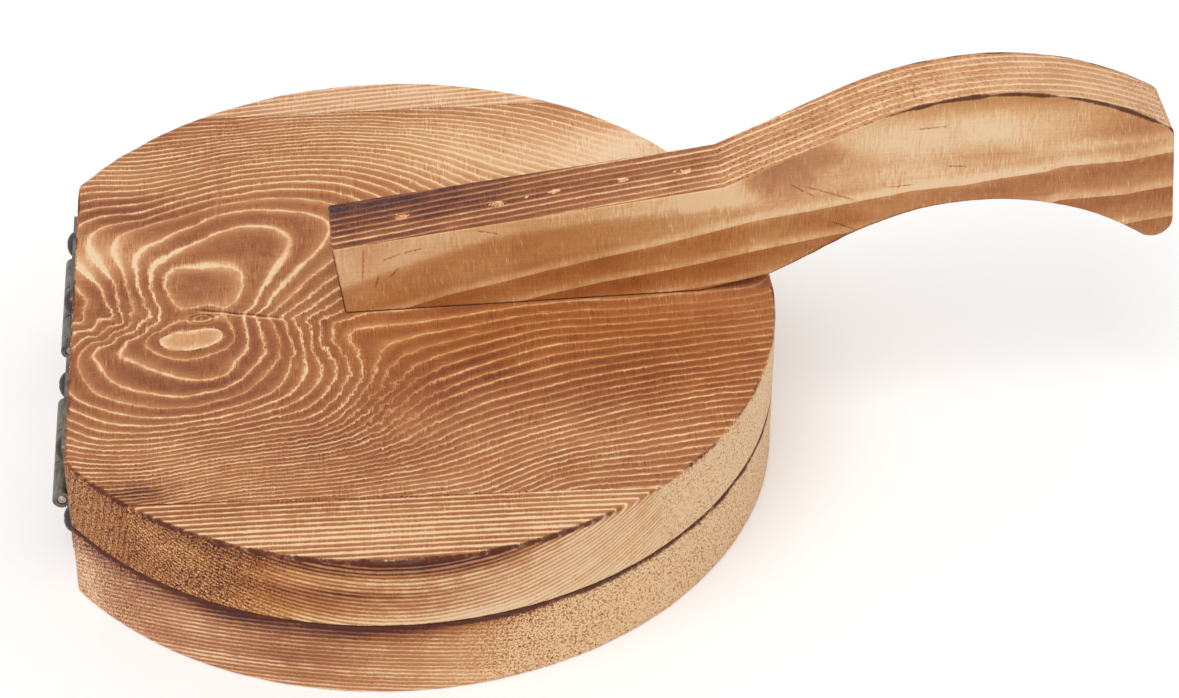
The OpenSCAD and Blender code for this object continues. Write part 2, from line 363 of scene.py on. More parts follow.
@dataclass(frozen=True)
class TorchedPine:
    """Pine that was torched and brushed: soft early wood tans, hard growth lines stay light.

    The mesh gives "ring", the number of growth rings crossed, "pitch", the millimetres from one
    ring to the next, "burn", how deep the torch went, "warm", how red the wood is, "end", how much
    end grain shows, how "clear", "thick", "wild" and "bold" the lines are, "edge", the distance to
    the nearest dark edge as a share of that band's width, "hatch", how strongly the brush has
    left rows of ticks, and "torn", where fibres are torn bare. The dark edges are char, and along
    the parting line and the lever's seat also painted shade. The nodes draw the lines, fibres,
    saw marks and speckles from them.
    """

    name: str
    # how far each pattern lightens or deepens the burn, as a share of the whole ramp
    line_lift: float = 0.42
    band_depth: float = 0.15
    mottle: float = 0.050
    fibre: float = 0.034
    saw: float = 0.12
    stroke: float = 0.30
    fleck: float = 0.0
    grit: float = 0.032
    # the same for the end grain's specks, net, rows of pores and open pores
    speckle: float = 0.08
    cells: float = 0.62
    rows: float = 0.16
    holes: float = 0.48
    # how far the lines wander, in broad and in fine waves, and how far the saw combed them, in mm
    wander: tuple[float, float] = (0.42, 0.20)
    comb: float = 0.30
    # repeats per millimetre along each axis, and the turns in degrees of the axes
    turn: Triple = (0.0, 0.0, 0.0)
    saw_stretch: Triple = (3.4, 0.26, 3.4)
    fibre_stretch: Triple = (0.12, 2.2, 2.2)
    stroke_stretch: Triple = (1.15, 0.12, 1.15)
    stroke_turn: Triple = (0.0, 0.0, 0.0)
    tick_stretch: Triple = (1.0, 1.0, 1.0)
    tick_turn: Triple = (0.0, 0.0, 0.0)
    scratches: tuple[tuple[float, float, float, float], ...] = ()
    # the char's colour, which also paints the shade along the parting line and the lever's seat,
    # and how ragged its border is
    char: Colour = paint(80, 42, 35)
    ragged: float = 0.6
    roughness: float = 0.62
    specular: float = 0.2
    knot: bool = False

    def material(self) -> Material:
        """Builds the finish's nodes.

        Returns:
            The material.
        """
        g = Graph(self.name)
        place = g.place(turn=self.turn)
        burn, warm, end, clear, thick, wild, bold, pitch, hatch = (
            g.attribute(n)
            for n in ("burn", "warm", "end", "clear", "thick", "wild", "bold", "pitch", "hatch")
        )
        crosscut = end.step(0.38, 0.85)
        lengthwise = 1 - crosscut
        saw = g.noise(g.place(self.saw_stretch, shift=(7, 1, 3), turn=self.turn), 1.0, 2.0, 0.6)
        grit = g.noise(g.place(shift=(1, 2, 3)), 0.42, 1.0, 0.6)
        coarse = g.noise(g.place(shift=(5, 2, 8)), 0.95, 1.0, 0.6)
        # the growth lines wander a little, and the saw has combed them across
        drift = g.noise(place, 3.4, 2.0, 0.6) * wild * self.wander[0]
        drift = drift + (g.noise(place, 0.9, 1.0) * self.wander[1] + saw * self.comb) * wild
        counted = g.attribute("ring")
        ring = counted + drift / pitch
        phase = g.math("FRACT", ring)
        patchy = g.noise(g.place((0.35, 0.35, 0.35), shift=(3, 9, 4)), 1.0)
        # no two rings are alike: each line has its own width and strength, each band its own depth
        grown = g.chance(g.math("ROUND", ring))
        aged = g.chance(g.math("FLOOR", ring) + 0.37) - 0.5
        half = (thick + pitch * 0.024) * (patchy * 0.22 + grown * 0.6 + 0.7)
        gap = g.math("MINIMUM", phase, 1 - phase) * pitch / half
        strong = grown * 0.5 + 0.7 - pitch.step(1.6, 5.0) * 0.22
        line = (1 - gap.step(0.1, 1.7)) * strong * (1 - bold)
        glow = (1 - gap.step(0.0, 5.0)) * (1 - bold)
        # early wood burns darkest just past the line and eases off towards the next one
        fine = phase.step(0.0, 0.30) * (1 - phase.step(0.45, 1.0))
        # flat-sawn bands are darkest past a sharp edge and palest just before the next
        wide = 1.2 - phase.step(0.15, 0.72) - phase.step(0.60, 0.93) * 1.7
        fine = fine - phase.step(0.55, 1.0) * pitch.step(1.6, 4.5) * 0.7
        band = fine * (1 - bold) + wide * bold
        clear = clear * (patchy * 0.25 + 0.95)
        plain = clear * (1 - crosscut * 0.8)
        mottle = g.noise(g.place(shift=(11, 5, 2)), 9.0, 3.0, 0.6)
        fibre = g.noise(g.place(self.fibre_stretch, turn=self.turn), 1.0, 3.0, 0.65)
        strength = g.noise(g.place((0.2, 0.2, 0.2), shift=(8, 8, 1)), 1.0, 1.0).step(-0.5, 0.6)
        tone = burn + mottle * self.mottle + aged * plain * 0.07
        sawn = saw * (strength * self.saw + 0.02) * (1.4 - burn)
        tone = tone + (fibre * self.fibre + sawn) * lengthwise
        tone = tone - line * plain * self.line_lift * (0.86 + burn * 0.26)
        tone = tone - glow * plain * 0.07 + band * plain * self.band_depth
        # end grain: rows of pores broken up into specks
        pores = g.math("SINE", (ring + coarse * 0.16 + grit * 0.10) * (2 * math.pi)) * clear
        net = g.spots(g.place(shift=(3, 1, 2)), 0.36).step(0.25, 0.80) - 0.5
        holes = 1 - g.spots(g.place(shift=(6, 3, 9)), 1.05).step(0.12, 0.24)
        specks = net * self.cells + grit * self.speckle + holes * (1 - burn) * self.holes
        tone = tone + (specks * (1.25 - clear * 0.15) + pores * self.rows) * crosscut
        tone = tone + grit * self.grit
        if self.knot:
            tone = self.knots(g, tone, counted)
        tone = tone - self.strokes(g) * lengthwise * (1.3 - burn) * self.stroke
        ticks = g.spots(g.place(self.tick_stretch, (4, 4, 4), self.tick_turn), 1.0, 0.7)
        tone = tone + ((1 - (ticks + grit * 0.05).step(0.16, 0.40)) * 0.40 - 0.10) * hatch
        bare = g.attribute("torn")
        torn = (bare + (coarse * 0.16 + grit * 0.14) * bare.step(0.0, 0.2)).step(0.42, 0.54)
        tone = tone - torn * (grit * 0.16 + coarse * 0.10 + 0.60)
        for u, w, lean, half in self.scratches:
            tone = tone + self.scratch(g, u, w, lean, half, grit + coarse)
        if self.fleck:
            dash = g.spots(g.place((0.24, 1.5, 1.5), shift=(2, 6, 1), turn=self.turn), 2.1)
            sparse = g.noise(g.place(shift=(21, 3, 2)), 9.0, 1.0).step(0.0, 0.6)
            tone = tone - (1 - dash.step(0.06, 0.20)) * sparse * self.fleck * warm * lengthwise
        tan, gold = (g.ramp(tone, burnt) for burnt in (TAN_BURN, GOLD_BURN))
        colour = g.mix(warm, tan, gold)
        nibbled = (coarse * 0.26 + grit * 0.20) * self.ragged
        # dark edges: char, and along the parting line and the lever's seat also painted shade
        charred = 1 - (g.attribute("edge") + nibbled).step(0.50, 1.15)
        deep = g.mix(grit * 0.5 + 0.5, self.char, tuple(c * 1.3 for c in self.char))
        colour = g.mix(charred * 0.92, colour, deep)
        g.link(colour, g.shader.inputs["Base Color"])
        rough = self.roughness + line * (-0.08) + grit * 0.16 + charred * 0.35
        g.link(rough, g.shader.inputs["Roughness"])
        g.shader.inputs["Specular IOR Level"].default_value = self.specular
        height = (line * plain * 0.5 + fibre * 0.12 + saw * 0.14) * (1 - charred)
        height = height + (grit + coarse) * (crosscut * 0.22 + 0.04)
        g.relief(height + 0.5, 0.12, 0.6)
        return g.material

    def scratch(
        self, g: Graph, u: float, w: float, lean: float, half: float, noise: Shade
    ) -> Shade:
        """A fine dark scratch on an upright face.

        Args:
            g: the node tree.
            u, w: the scratch's middle, along the piece and up, from the origin.
            lean: its slant in degrees.
            half: half its length.
            noise: what breaks it up.
        Returns:
            How much deeper the burn is on it.
        """
        c, s = heading(lean)
        where = g.place((1, 0, 1), turn=self.turn)
        x, z = g.part(where, "X") - u, g.part(where, "Z") - w
        along, square = x * float(c) + z * float(s), z * float(c) - x * float(s)
        reach = 1 - (g.math("ABSOLUTE", along) / half).step(0.6, 1.0)
        near = 1 - g.math("ABSOLUTE", square + noise * 0.05).step(0.05, 0.28)
        return reach * near * (noise * 0.10 + 0.26)

    def strokes(self, g: Graph) -> Shade:
        """Short light strokes across the grain, where the wood's rays were brushed bare.

        Args:
            g: the node tree.
        Returns:
            1 on a stroke, 0 off it.
        """
        total: Shade | float = 0.0
        for shift in ((0.3, 0.7, 0.1), (5.4, 2.2, 7.9), (3.1, 8.5, 4.6)):
            cell = g.spots(g.place(self.stroke_stretch, shift, self.stroke_turn), 1.0)
            sparse = g.noise(g.place((0.11, 0.11, 0.11), shift), 1.0, 1.0).step(-0.3, 0.7)
            total = (1 - cell.step(0.05, 0.17)) * sparse + total
        return total

    def knots(self, g: Graph, tone: Shade, counted: Shade) -> Shade:
        """Draws the lid's pale lens, the pin knot over it and the crease beside that.

        Args:
            g: the node tree.
            tone: the burn so far.
            counted: the ring count, which is below 0 only inside the lens.
        Returns:
            The tone with the knots.
        """
        rough = g.noise(g.place((0.3, 1.6, 1)), 1.0, 2.0)
        lens = (counted + rough * 0.03).step(0.02, -0.10)
        tone = tone - lens * 0.38
        tone = tone + (1 - g.math("ABSOLUTE", counted - 0.09).step(0.02, 0.12)) * 0.16
        # pin knot: rings of 0.9 mm round (-36.3, -2.5), drawn out along the grain
        around = g.place((0.6, 1.0, 0.0), shift=(21.8, 2.5, 0.0))
        far = g.length(around) + g.noise(g.place(), 1.2, 1.0) * 0.08
        rings = g.math("PINGPONG", far * 1.1, 0.5) * 2
        inside = 1 - far.step(1.6, 2.2)
        tone = tone + inside * (rings - 0.62) * 0.42
        # crease: a dark fold with a light lip under it, from (-37, 0.3) to (-21, -3.4)
        fold = g.place((1, 1, 0), shift=(27.87, 8.18, 0.0), turn=(0, 0, 13.0))
        along, square = g.part(fold, "X"), g.part(fold, "Y")
        square = square + g.noise(g.place((0.3, 0.3, 0.3)), 1.0, 1.0) * 0.16
        reach = 1 - g.math("ABSOLUTE", along).step(6.5, 9.5)
        dark = 1 - g.math("ABSOLUTE", square - 0.25).step(0.1, 0.5)
        pale = 1 - g.math("ABSOLUTE", square + 0.42).step(0.1, 0.55)
        return tone + reach * (dark * 0.26 - pale * 0.36)


# ---- plane outlines


def heading(degrees: float) -> Array:
    """Unit vector at an angle from the first axis."""
    turn = math.radians(degrees)
    return np.array([math.cos(turn), math.sin(turn)])


def slope(degrees: float) -> float:
    """Rise over run at an angle."""
    return math.tan(math.radians(degrees))


def on_round(centre: Array, radius: float, degrees: float) -> Array:
    """The place on a circle at an angle."""
    return centre + radius * heading(degrees)


def bearing(vector: Array) -> float:
    """Angle of a plane vector from the first axis, in degrees."""
    return math.degrees(math.atan2(vector[1], vector[0]))


@dataclass(frozen=True)
class Arc:
    """Part of a circle, from one angle to another in degrees; the second may be the smaller."""

    centre: Array | tuple[float, float]
    radius: float
    start: float
    end: float

    def length(self) -> float:
        """Length along the arc."""
        return abs(math.radians(self.end - self.start)) * self.radius

    def points(self, count: int) -> Array:
        """Centre + radius * (cos, sin) at evenly spaced angles, without the last point."""
        turn = np.radians(np.linspace(self.start, self.end, count, endpoint=False))
        return np.array(self.centre) + self.radius * np.c_[np.cos(turn), np.sin(turn)]

    def last(self) -> Array:
        """The arc's end."""
        return np.array(self.centre) + self.radius * heading(self.end)


@dataclass(frozen=True)
class Line:
    """Straight run from a to b."""

    a: Array | tuple[float, float]
    b: Array | tuple[float, float]

    def length(self) -> float:
        """Length of the run."""
        return math.dist(self.a, self.b)

    def points(self, count: int) -> Array:
        """a + (b - a) * t at evenly spaced t, without the last point."""
        t = np.linspace(0, 1, count, endpoint=False)[:, None]
        return np.array(self.a) * (1 - t) + np.array(self.b) * t

    def last(self) -> Array:
        """The run's end."""
        return np.array(self.b, float)


def run(parts: Sequence[Arc | Line], total: int, least: int = 4) -> Array:
    """Points along joined parts, shared out by length with a few at least in each.

    Args:
        parts: arcs and lines, each starting where the one before ends.
        total: number of steps in all.
        least: fewest steps in a part.
    Returns:
        (total + 1) x 2 points.
    """
    length = np.array([p.length() for p in parts])
    spare = total - least * len(parts)
    steps = least + np.floor(spare * length / length.sum()).astype(int)
    steps[np.argmax(length)] += total - steps.sum()
    laid = [p.points(n) for p, n in zip(parts, steps)]
    return np.vstack([*laid, parts[-1].last()[None]])


def grid_quads(index: Array) -> Array:
    """The quads between neighbours in a grid of points, from the points' numbers."""
    cells = np.stack([index[:-1, :-1], index[1:, :-1], index[1:, 1:], index[:-1, 1:]], -1)
    return cells.reshape(-1, 4)


def share(points: Array) -> Array:
    """Distance along a run as a share of its length, 0 to 1."""
    step = np.hypot(*np.diff(points, axis=0).T)
    along = np.r_[0, np.cumsum(step)]
    return along / along[-1]


def fill_between(bottom: Array, right: Array, top: Array, left: Array) -> Array:
    """Grid over a four-sided area: both pairs of sides blended, less the blend of the corners.

    Args:
        bottom, top: runs from left to right, (m + 1) x 2.
        right, left: runs from bottom to top, (k + 1) x 2.
    Returns:
        (m + 1) x (k + 1) x 2 places.
    """
    s = ((share(bottom) + share(top)) / 2)[:, None, None]
    t = ((share(left) + share(right)) / 2)[None, :, None]
    sides = (1 - t) * bottom[:, None] + t * top[:, None] + (1 - s) * left[None] + s * right[None]
    first, last = (1 - t) * bottom[0] + t * top[0], (1 - t) * bottom[-1] + t * top[-1]
    return sides - ((1 - s) * first + s * last)


# ---- slabs of wood


@dataclass
class Shell:
    """A closed mesh of quads with a few facts about each point."""

    points: Array
    quads: Array
    facing: Array = field(default_factory=lambda: np.zeros((0, 3)))

    def mesh(self, name: str) -> bpy.types.Mesh:
        """Writes the points and quads into a smooth-shaded mesh and keeps its normals.

        Args:
            name: the mesh's name.
        Returns:
            The mesh, in metres.
        """
        made = bpy.data.meshes.new(name)
        made.vertices.add(len(self.points))
        made.vertices.foreach_set("co", (self.points * MM).astype(np.float32).ravel())
        made.loops.add(self.quads.size)
        made.loops.foreach_set("vertex_index", self.quads.astype(np.int32).ravel())
        made.polygons.add(len(self.quads))
        made.polygons.foreach_set("loop_start", np.arange(0, self.quads.size, 4, dtype=np.int32))
        made.update(calc_edges=True)
        made.shade_smooth()
        made.set_sharp_from_angle(angle=math.radians(38))
        normals = np.empty(len(self.points) * 3, np.float32)
        made.vertex_normals.foreach_get("vector", normals)
        self.facing = normals.reshape(-1, 3).astype(float)
        return made


@dataclass
class Slab:
    """A plank cut to an outline, as one closed surface.

    The outline has four runs. Each face is the grid that they span, drawn in by the arris. Round
    the plank go rows of points: out over the lower arris, up the rim, and in over the upper one.
    """

    bottom: Array
    right: Array
    top: Array
    left: Array
    low: float
    high: float
    arris_low: Array | float = 0.5
    arris_high: Array | float = 0.5
    arris_rows: int = 5
    rim_rows: int = 10
    inward: Array | None = None

    def loop(self) -> Array:
        """The whole outline once round, anticlockwise."""
        return np.vstack([self.bottom[:-1], self.right[:-1], self.top[:0:-1], self.left[:0:-1]])

    def inset(self, loop: Array) -> Array:
        """Vectors that draw the outline in by one millimetre.

        Args:
            loop: the outline.
        Returns:
            One vector per point, square to the outline unless some were given.
        """
        ahead, behind = np.roll(loop, -1, 0) - loop, loop - np.roll(loop, 1, 0)
        ahead /= np.hypot(*ahead.T)[:, None]
        behind /= np.hypot(*behind.T)[:, None]
        mean = ahead + behind
        mean /= np.hypot(*mean.T)[:, None]
        square = np.c_[-mean[:, 1], mean[:, 0]]
        if self.inward is None:
            return square
        given = np.isfinite(self.inward[:, :1])
        return np.where(given, self.inward, square)

    def face(self, edge: Array, height: float) -> Array:
        """A face's grid of points at one height.

        Args:
            edge: the face's outline, once round.
            height: the height.
        Returns:
            N x 3 points, the bottom run's first.
        """
        m, k = len(self.bottom) - 1, len(self.right) - 1
        grid = fill_between(
            edge[: m + 1], edge[m: m + k + 1], edge[m + k: 2 * m + k + 1][::-1],
            np.vstack([edge[2 * m + k:], edge[:1]])[::-1],
        )
        return np.concatenate([grid, np.full((m + 1, k + 1, 1), height)], 2).reshape(-1, 3)

    def shell(self) -> Shell:
        """Builds the surface.

        Point = outline + inward * arris * (1 - sin a), at height low + arris * (1 - cos a) for a
        from 0 to 90 degrees over the lower arris, and mirrored over the upper one.

        Returns:
            The closed surface in the slab's own frame.
        """
        loop = self.loop()
        inward = self.inset(loop)
        m, k = len(self.bottom) - 1, len(self.right) - 1
        n = len(loop)
        radii = [np.broadcast_to(r, (n,)) for r in (self.arris_low, self.arris_high)]
        lower = self.face(loop + inward * radii[0][:, None], self.low)
        upper = self.face(loop + inward * radii[1][:, None], self.high)
        angles = np.linspace(0, math.pi / 2, self.arris_rows + 1)[1:]
        rows = []
        for angle in angles:
            drawn = loop + inward * (radii[0] * (1 - math.sin(angle)))[:, None]
            rows.append(np.c_[drawn, self.low + radii[0] * (1 - math.cos(angle))])
        start, stop = self.low + radii[0], self.high - radii[1]
        for part in np.linspace(0, 1, self.rim_rows + 1)[1:-1]:
            rows.append(np.c_[loop, start + (stop - start) * part])
        for angle in angles[::-1]:
            drawn = loop + inward * (radii[1] * (1 - math.sin(angle)))[:, None]
            rows.append(np.c_[drawn, self.high - radii[1] * (1 - math.cos(angle))])
        count = (m + 1) * (k + 1)
        index = np.arange(count).reshape(m + 1, k + 1)
        edge = np.r_[index[:m, 0], index[m, :k], index[m:0:-1, k], index[0, k:0:-1]]
        bands = 2 * count + np.arange(len(rows) * n).reshape(-1, n)
        bands = np.vstack([edge, bands, edge + count])
        cell = grid_quads(index)
        nxt = np.roll(bands, -1, 1)
        belt = np.stack([bands[:-1], nxt[:-1], nxt[1:], bands[1:]], -1).reshape(-1, 4)
        quads = np.vstack([cell[:, ::-1], cell + count, belt])
        points = np.vstack([lower, upper, *rows])
        return Shell(points, quads)


# ---- growth rings


# (number, then pairs of numbers that share it) for each row of listed spots
Spots = tuple[tuple[float, tuple[tuple[float, float], ...]], ...]


class GrowthMap:
    """Growth rings over the lid's middle strip, with two knots near the hinges.

    The ring count is a thin plate bent through listed spots of known count: a sum of
    weight * d^2 * log(d) over the spots, plus a tilted plane.
    """

    # (ring count, then the (x, y) places that have it)
    RINGS: ClassVar[Spots] = (
        (0.42, ((-36, 7),)),
        (1.5, ((-36.5, -1.6),)),
        (1, ((-43, 12.5), (-38, 14.2), (-32, 14), (-28.7, 11.5), (-28.8, 5), (-30.5, 0.5),
            (-38, 0.8), (-42.3, 4), (-43.7, 8))),
        (2, ((-46.3, 12), (-44, 17.5), (-38.5, 21.5), (-31, 26), (-24, 26.3), (-20, 24), (-20, 16),
            (-23.5, 8), (-25.7, 1.5), (-45.8, 6), (-44.5, -0.5))),
        (3, ((-49, 10), (-49.7, 16), (-48, 20.5), (-44, 23.5), (-38.3, 27.3), (-34.5, 30),
            (-28, 31.8), (-21, 31.4), (-15.5, 30), (-11.5, 27), (-12, 21), (-16, 14),
            (-20.7, 6.7), (-23.3, 1.3), (-47.5, 4), (-46.5, -1.5))),
        (4, ((-51, 8), (-52, 14), (-54, 22), (-50, 27), (-46, 29), (-38, 32), (-30, 34.8),
            (-22, 35.7), (-14, 34.3), (-50, 2.5), (-49.3, -0.8), (-18.3, 4))),
        (5, ((-53, 8), (-56, 15.3), (-58.5, 25.7), (-55, 29), (-47.5, 30.5), (-40, 34.2),
            (-30, 37.2), (-21, 38.6), (-9, 36.4), (-51.5, 0), (-14.6, 4))),
        (6, ((-55.5, 7), (-59.5, 30.5), (-10.9, 4), (-54.2, -0.7))),
        (-0.6, ((-38.5, -9),)),
        (0, ((-44, -8), (-43.7, -10.7), (-39.3, -12), (-35.3, -11.3), (-32, -8), (-33.5, -5.8),
            (-38.7, -6))),
        (1, ((-47, -8.3), (-45.3, -12), (-42, -14.3), (-38, -14.8), (-34, -13.3), (-30.7, -10.7),
            (-30.3, -6.7))),
        (2, ((-52, -12), (-49.3, -14.7), (-44.7, -18), (-39.3, -20.7), (-35.3, -21.2),
            (-31.3, -19.7), (-30, -16.3), (-27.7, -12), (-27.7, -7.3), (-49.7, -8.3),
            (-46.5, -5.5))),
        (3, ((-24.7, -9.3), (-24.1, -13.3), (-26, -17.3), (-29.3, -22), (-35.3, -25),
            (-39.3, -25.9), (-45.3, -24.7), (-50.7, -22.3), (-53.3, -20), (-56, -14.7),
            (-57, -12), (-54, -9), (-50, -5.5))),
        (4.5, ((-60, -10.7), (-53, -5))),
        (4, ((-21.6, -9.5), (-21.3, -14.7), (-24, -20), (-28.5, -25.7), (-34.7, -28), (-42, -29),
            (-49.7, -27.3), (-55.3, -24.3), (-58, -20.5))),
        (5, ((-19.3, -10), (-19, -17), (-22.7, -25.3), (-28, -28.7), (-35.3, -31), (-42, -31.8),
            (-54, -28.7), (-59.3, -25.3))),
        (8, ((-13.4, -10), (-10.8, -20), (-14.7, -29), (-22.7, -33), (-36, -36), (-45.3, -37.5),
            (-56, -36.7), (-60.7, -33.7))),
        (10, ((-8, -10), (-6, -22), (-15, -35.4), (-30, -38), (-45, -40.5))),
    )
    # (x, then (y, ring count) pairs) across the even grain away from the knots
    CUTS: ClassVar[Spots] = (
        (-58, ((42, 9.7),)),
        (-50, ((34, 6.5), (38.2, 8), (44, 11), (49, 14), (53.4, 17))),
        (-45, ((-44.2, 13), (-48.7, 17), (-52.9, 21), (-56.4, 25))),
        (-57, ((-45, 14),)),
        (-30, ((42, 7), (47, 10), (51.7, 13), (56.4, 17), (60.5, 21), (63.6, 23), (-41.8, 13),
            (-46.5, 18), (-51.6, 23), (-55.4, 27))),
        (-15, ((-42, 15), (-47.7, 20.3), (-53, 25.3), (-56, 28))),
        (-10, ((42.5, 7), (48, 10), (52.7, 13), (57.9, 17), (61.9, 21))),
        (0, ((-3, 9), (-10, 10.5), (-20, 12), (-32, 15), (-44.9, 20.7), (-50, 24.5), (-55.9, 29))),
        (5, ((41, 9.3), (47.2, 12), (51.4, 14), (55.9, 17), (60.2, 21), (63.4, 23))),
        (15, ((-3.4, 9.5), (-11.9, 12), (-24.5, 16), (-37.6, 21), (-46.3, 25.2), (-56, 30.6))),
        (20, ((42.6, 14), (50.4, 17), (55.7, 20), (62.7, 24))),
        (30, ((-3.9, 10.3), (-13, 14), (-23.5, 17.5), (-32.4, 21), (-38.3, 24), (-45, 28),
            (-55.9, 35))),
        (35, ((44, 18), (52, 21.7), (60, 25.4))),
        (45, ((-4.2, 10.5), (-15, 15.3), (-28.5, 21), (-35.4, 25), (-43.9, 29.3), (-50.9, 33))),
        (50, ((45, 22.3), (52, 25.5))),
        (60, ((-3.3, 10.5), (-15, 16), (-26, 21), (-33.2, 25.3), (-40.6, 29))),
        (72, ((0, 10), (-10, 14.2), (-22, 20))),
    )
    # millimetres to a unit of the plate, and how far it may miss a spot, which keeps it smooth
    UNIT: ClassVar[float] = 50.0
    EASE: ClassVar[float] = 2e-4
    # rings that the lines are folded by along the crease beside the pin knot, and how far it
    # reaches to each side
    FOLD: ClassVar[float] = 0.9
    FOLD_REACH: ClassVar[float] = 2.0
    # rings that they swing by where they step down to the left of it, and how far apart
    STEP: ClassVar[float] = 0.42
    STEP_PITCH: ClassVar[float] = 5.6

    def __init__(self) -> None:
        """Solves for the plate's weights: [[K + ease, Q], [Q', 0]] w = [rings, 0]."""
        spots = [(x, y, n) for n, places in self.RINGS for x, y in places]
        spots += [(x, y, n) for x, cut in self.CUTS for y, n in cut]
        spot = np.array(spots, float)
        self.spots = spot[:, :2] / self.UNIT
        plane = np.c_[np.ones(len(spot)), self.spots]
        bend = self.bend(self.spots) + self.EASE * np.eye(len(spot))
        system = np.block([[bend, plane], [plane.T, np.zeros((3, 3))]])
        self.weights = np.linalg.solve(system, np.r_[spot[:, 2], 0, 0, 0])

    def bend(self, where: Array) -> Array:
        """d^2 * log(d) from each place to each spot."""
        square = ((where[:, None] - self.spots[None]) ** 2).sum(-1)
        return np.where(square > 1e-9, square * np.log(np.maximum(square, 1e-9)), 0) / 2

    def rings(self, points: Array) -> Array:
        """Ring count at places on the lid: the plate, plus fold * exp(-away / reach) by the crease.

        The crease is the line y = -1.6 - 0.19 (x + 30). Left of the knots, a triangle wave along
        the way down to the left is added, so that the lines go down in steps.

        Args:
            points: N x 2 or N x 3 places in millimetres.
        Returns:
            The count at each.
        """
        where = points[:, :2] / self.UNIT
        plate = self.bend(where) @ self.weights[:-3] + self.weights[-3] + where @ self.weights[-2:]
        x, y = points[:, 0], points[:, 1]
        away = np.abs(y + 1.6 + 0.19 * (x + 30))
        fold = self.FOLD * np.exp(-away / self.FOLD_REACH)
        plate = plate + fold * smooth(-33, -24, x) * smooth(-6, -14, x)
        turn = (x + y + 0.12 * (x - y)) / math.sqrt(2) / self.STEP_PITCH + 0.10
        stairs = 4 * np.abs(turn - np.floor(turn + 0.5)) - 1
        return plate + self.STEP * stairs * smooth(0.1, 0.7, blob(x, y, -54, -3.5, 9, 6.5))


# where the count starts on plain strips, so that it stays above 0
RING_START = 200


def steady(value: float) -> Field:
    """A field that is the same everywhere."""
    return lambda points, normals: np.full(len(points), value)


@dataclass
class Grain:
    """Everything that a wood finish reads from its mesh.

    Args:
        rings: ring count at N x 3 places.
        fibre: the way that the fibres run.
        burn, warm: depth of the burn and redness, from places and normals.
        clear: how plainly the growth lines show.
        thick: half the width of a light line, in millimetres.
        wild: how much the lines waver.
        bold: 1 where the lines are broad bands, as on flat-sawn sides.
        edge: distance to the nearest dark edge over its width there, from places; the dark edges
            are char, and also painted shade along the parting line and the lever's seat.
        hatch: how strongly rows of ticks show.
        torn: above about 0.5 where fibres are torn bare.
        end_gain: how much end grain shows on the sides where the fibres come out and go in.
    """

    rings: Callable[[Array], Array]
    fibre: Array
    burn: Field
    warm: Field
    clear: Field
    thick: Field
    wild: Field
    edge: Callable[[Array], Array]
    end_gain: tuple[float, float] = (1.0, 1.0)
    bold: Field = steady(0.0)
    hatch: Field = steady(0.0)
    torn: Field = steady(0.0)

    # half the step that slopes are taken over, in millimetres
    REACH: ClassVar[float] = 0.05

    def slope(self, points: Array) -> Array:
        """Rings per millimetre along each axis, by central differences."""
        steps = np.eye(3) * self.REACH
        rises = [self.rings(points + step) - self.rings(points - step) for step in steps]
        return np.stack([rise / (2 * self.REACH) for rise in rises], -1)

    def lay(self, mesh: bpy.types.Mesh, shell: Shell) -> None:
        """Stores the grain at the mesh's points.

        The pitch is 1 / |slope - normal * (slope . normal)|: ring spacing as seen on the surface.

        Args:
            mesh: the mesh.
            shell: the surface that it was made from.
        """
        points, normals = shell.points, shell.facing
        slope = self.slope(points)
        flat = slope - normals * (slope * normals).sum(1, keepdims=True)
        pitch = 1 / np.maximum(np.linalg.norm(flat, axis=1), 0.05)
        out = normals @ (self.fibre / np.linalg.norm(self.fibre))
        end = np.where(out > 0, out * self.end_gain[0], -out * self.end_gain[1])
        values = {
            "ring": self.rings(points),
            "pitch": np.clip(pitch, 0.5, 14),
            "burn": self.burn(points, normals),
            "warm": self.warm(points, normals),
            "clear": self.clear(points, normals),
            "thick": self.thick(points, normals),
            "wild": self.wild(points, normals),
            "bold": self.bold(points, normals),
            "edge": np.clip(self.edge(points), 0, 3),
            "hatch": self.hatch(points, normals),
            "torn": self.torn(points, normals),
            "end": np.clip(end, 0, 1),
        }
        for name, value in values.items():
            layer = mesh.attributes.new(name, "FLOAT", "POINT")
            full = np.broadcast_to(value, (len(points),)).astype(np.float32)
            layer.data.foreach_set("value", np.ascontiguousarray(full))


# ---- the press's pieces


@dataclass
class Piece:
    """One finished piece: its names, its body and the CAD nodes that it stands for."""

    name: str
    body: Body
    slot: str
    stands_for: tuple[str, ...] = ()

    def place(self, mesh: bpy.types.Mesh, finish: Material) -> bpy.types.Object:
        """Puts a mesh into the scene on its body.

        Args:
            mesh: the piece's mesh.
            finish: its material.
        Returns:
            The object, at the origin.
        """
        made = put(self.name, mesh)
        mesh.materials.append(finish)
        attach(made, self.body.value)
        if self.stands_for:
            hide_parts(*self.stands_for)
        LOG.info("%s: %d faces on %s", self.name, len(mesh.polygons), self.body.value)
        return made


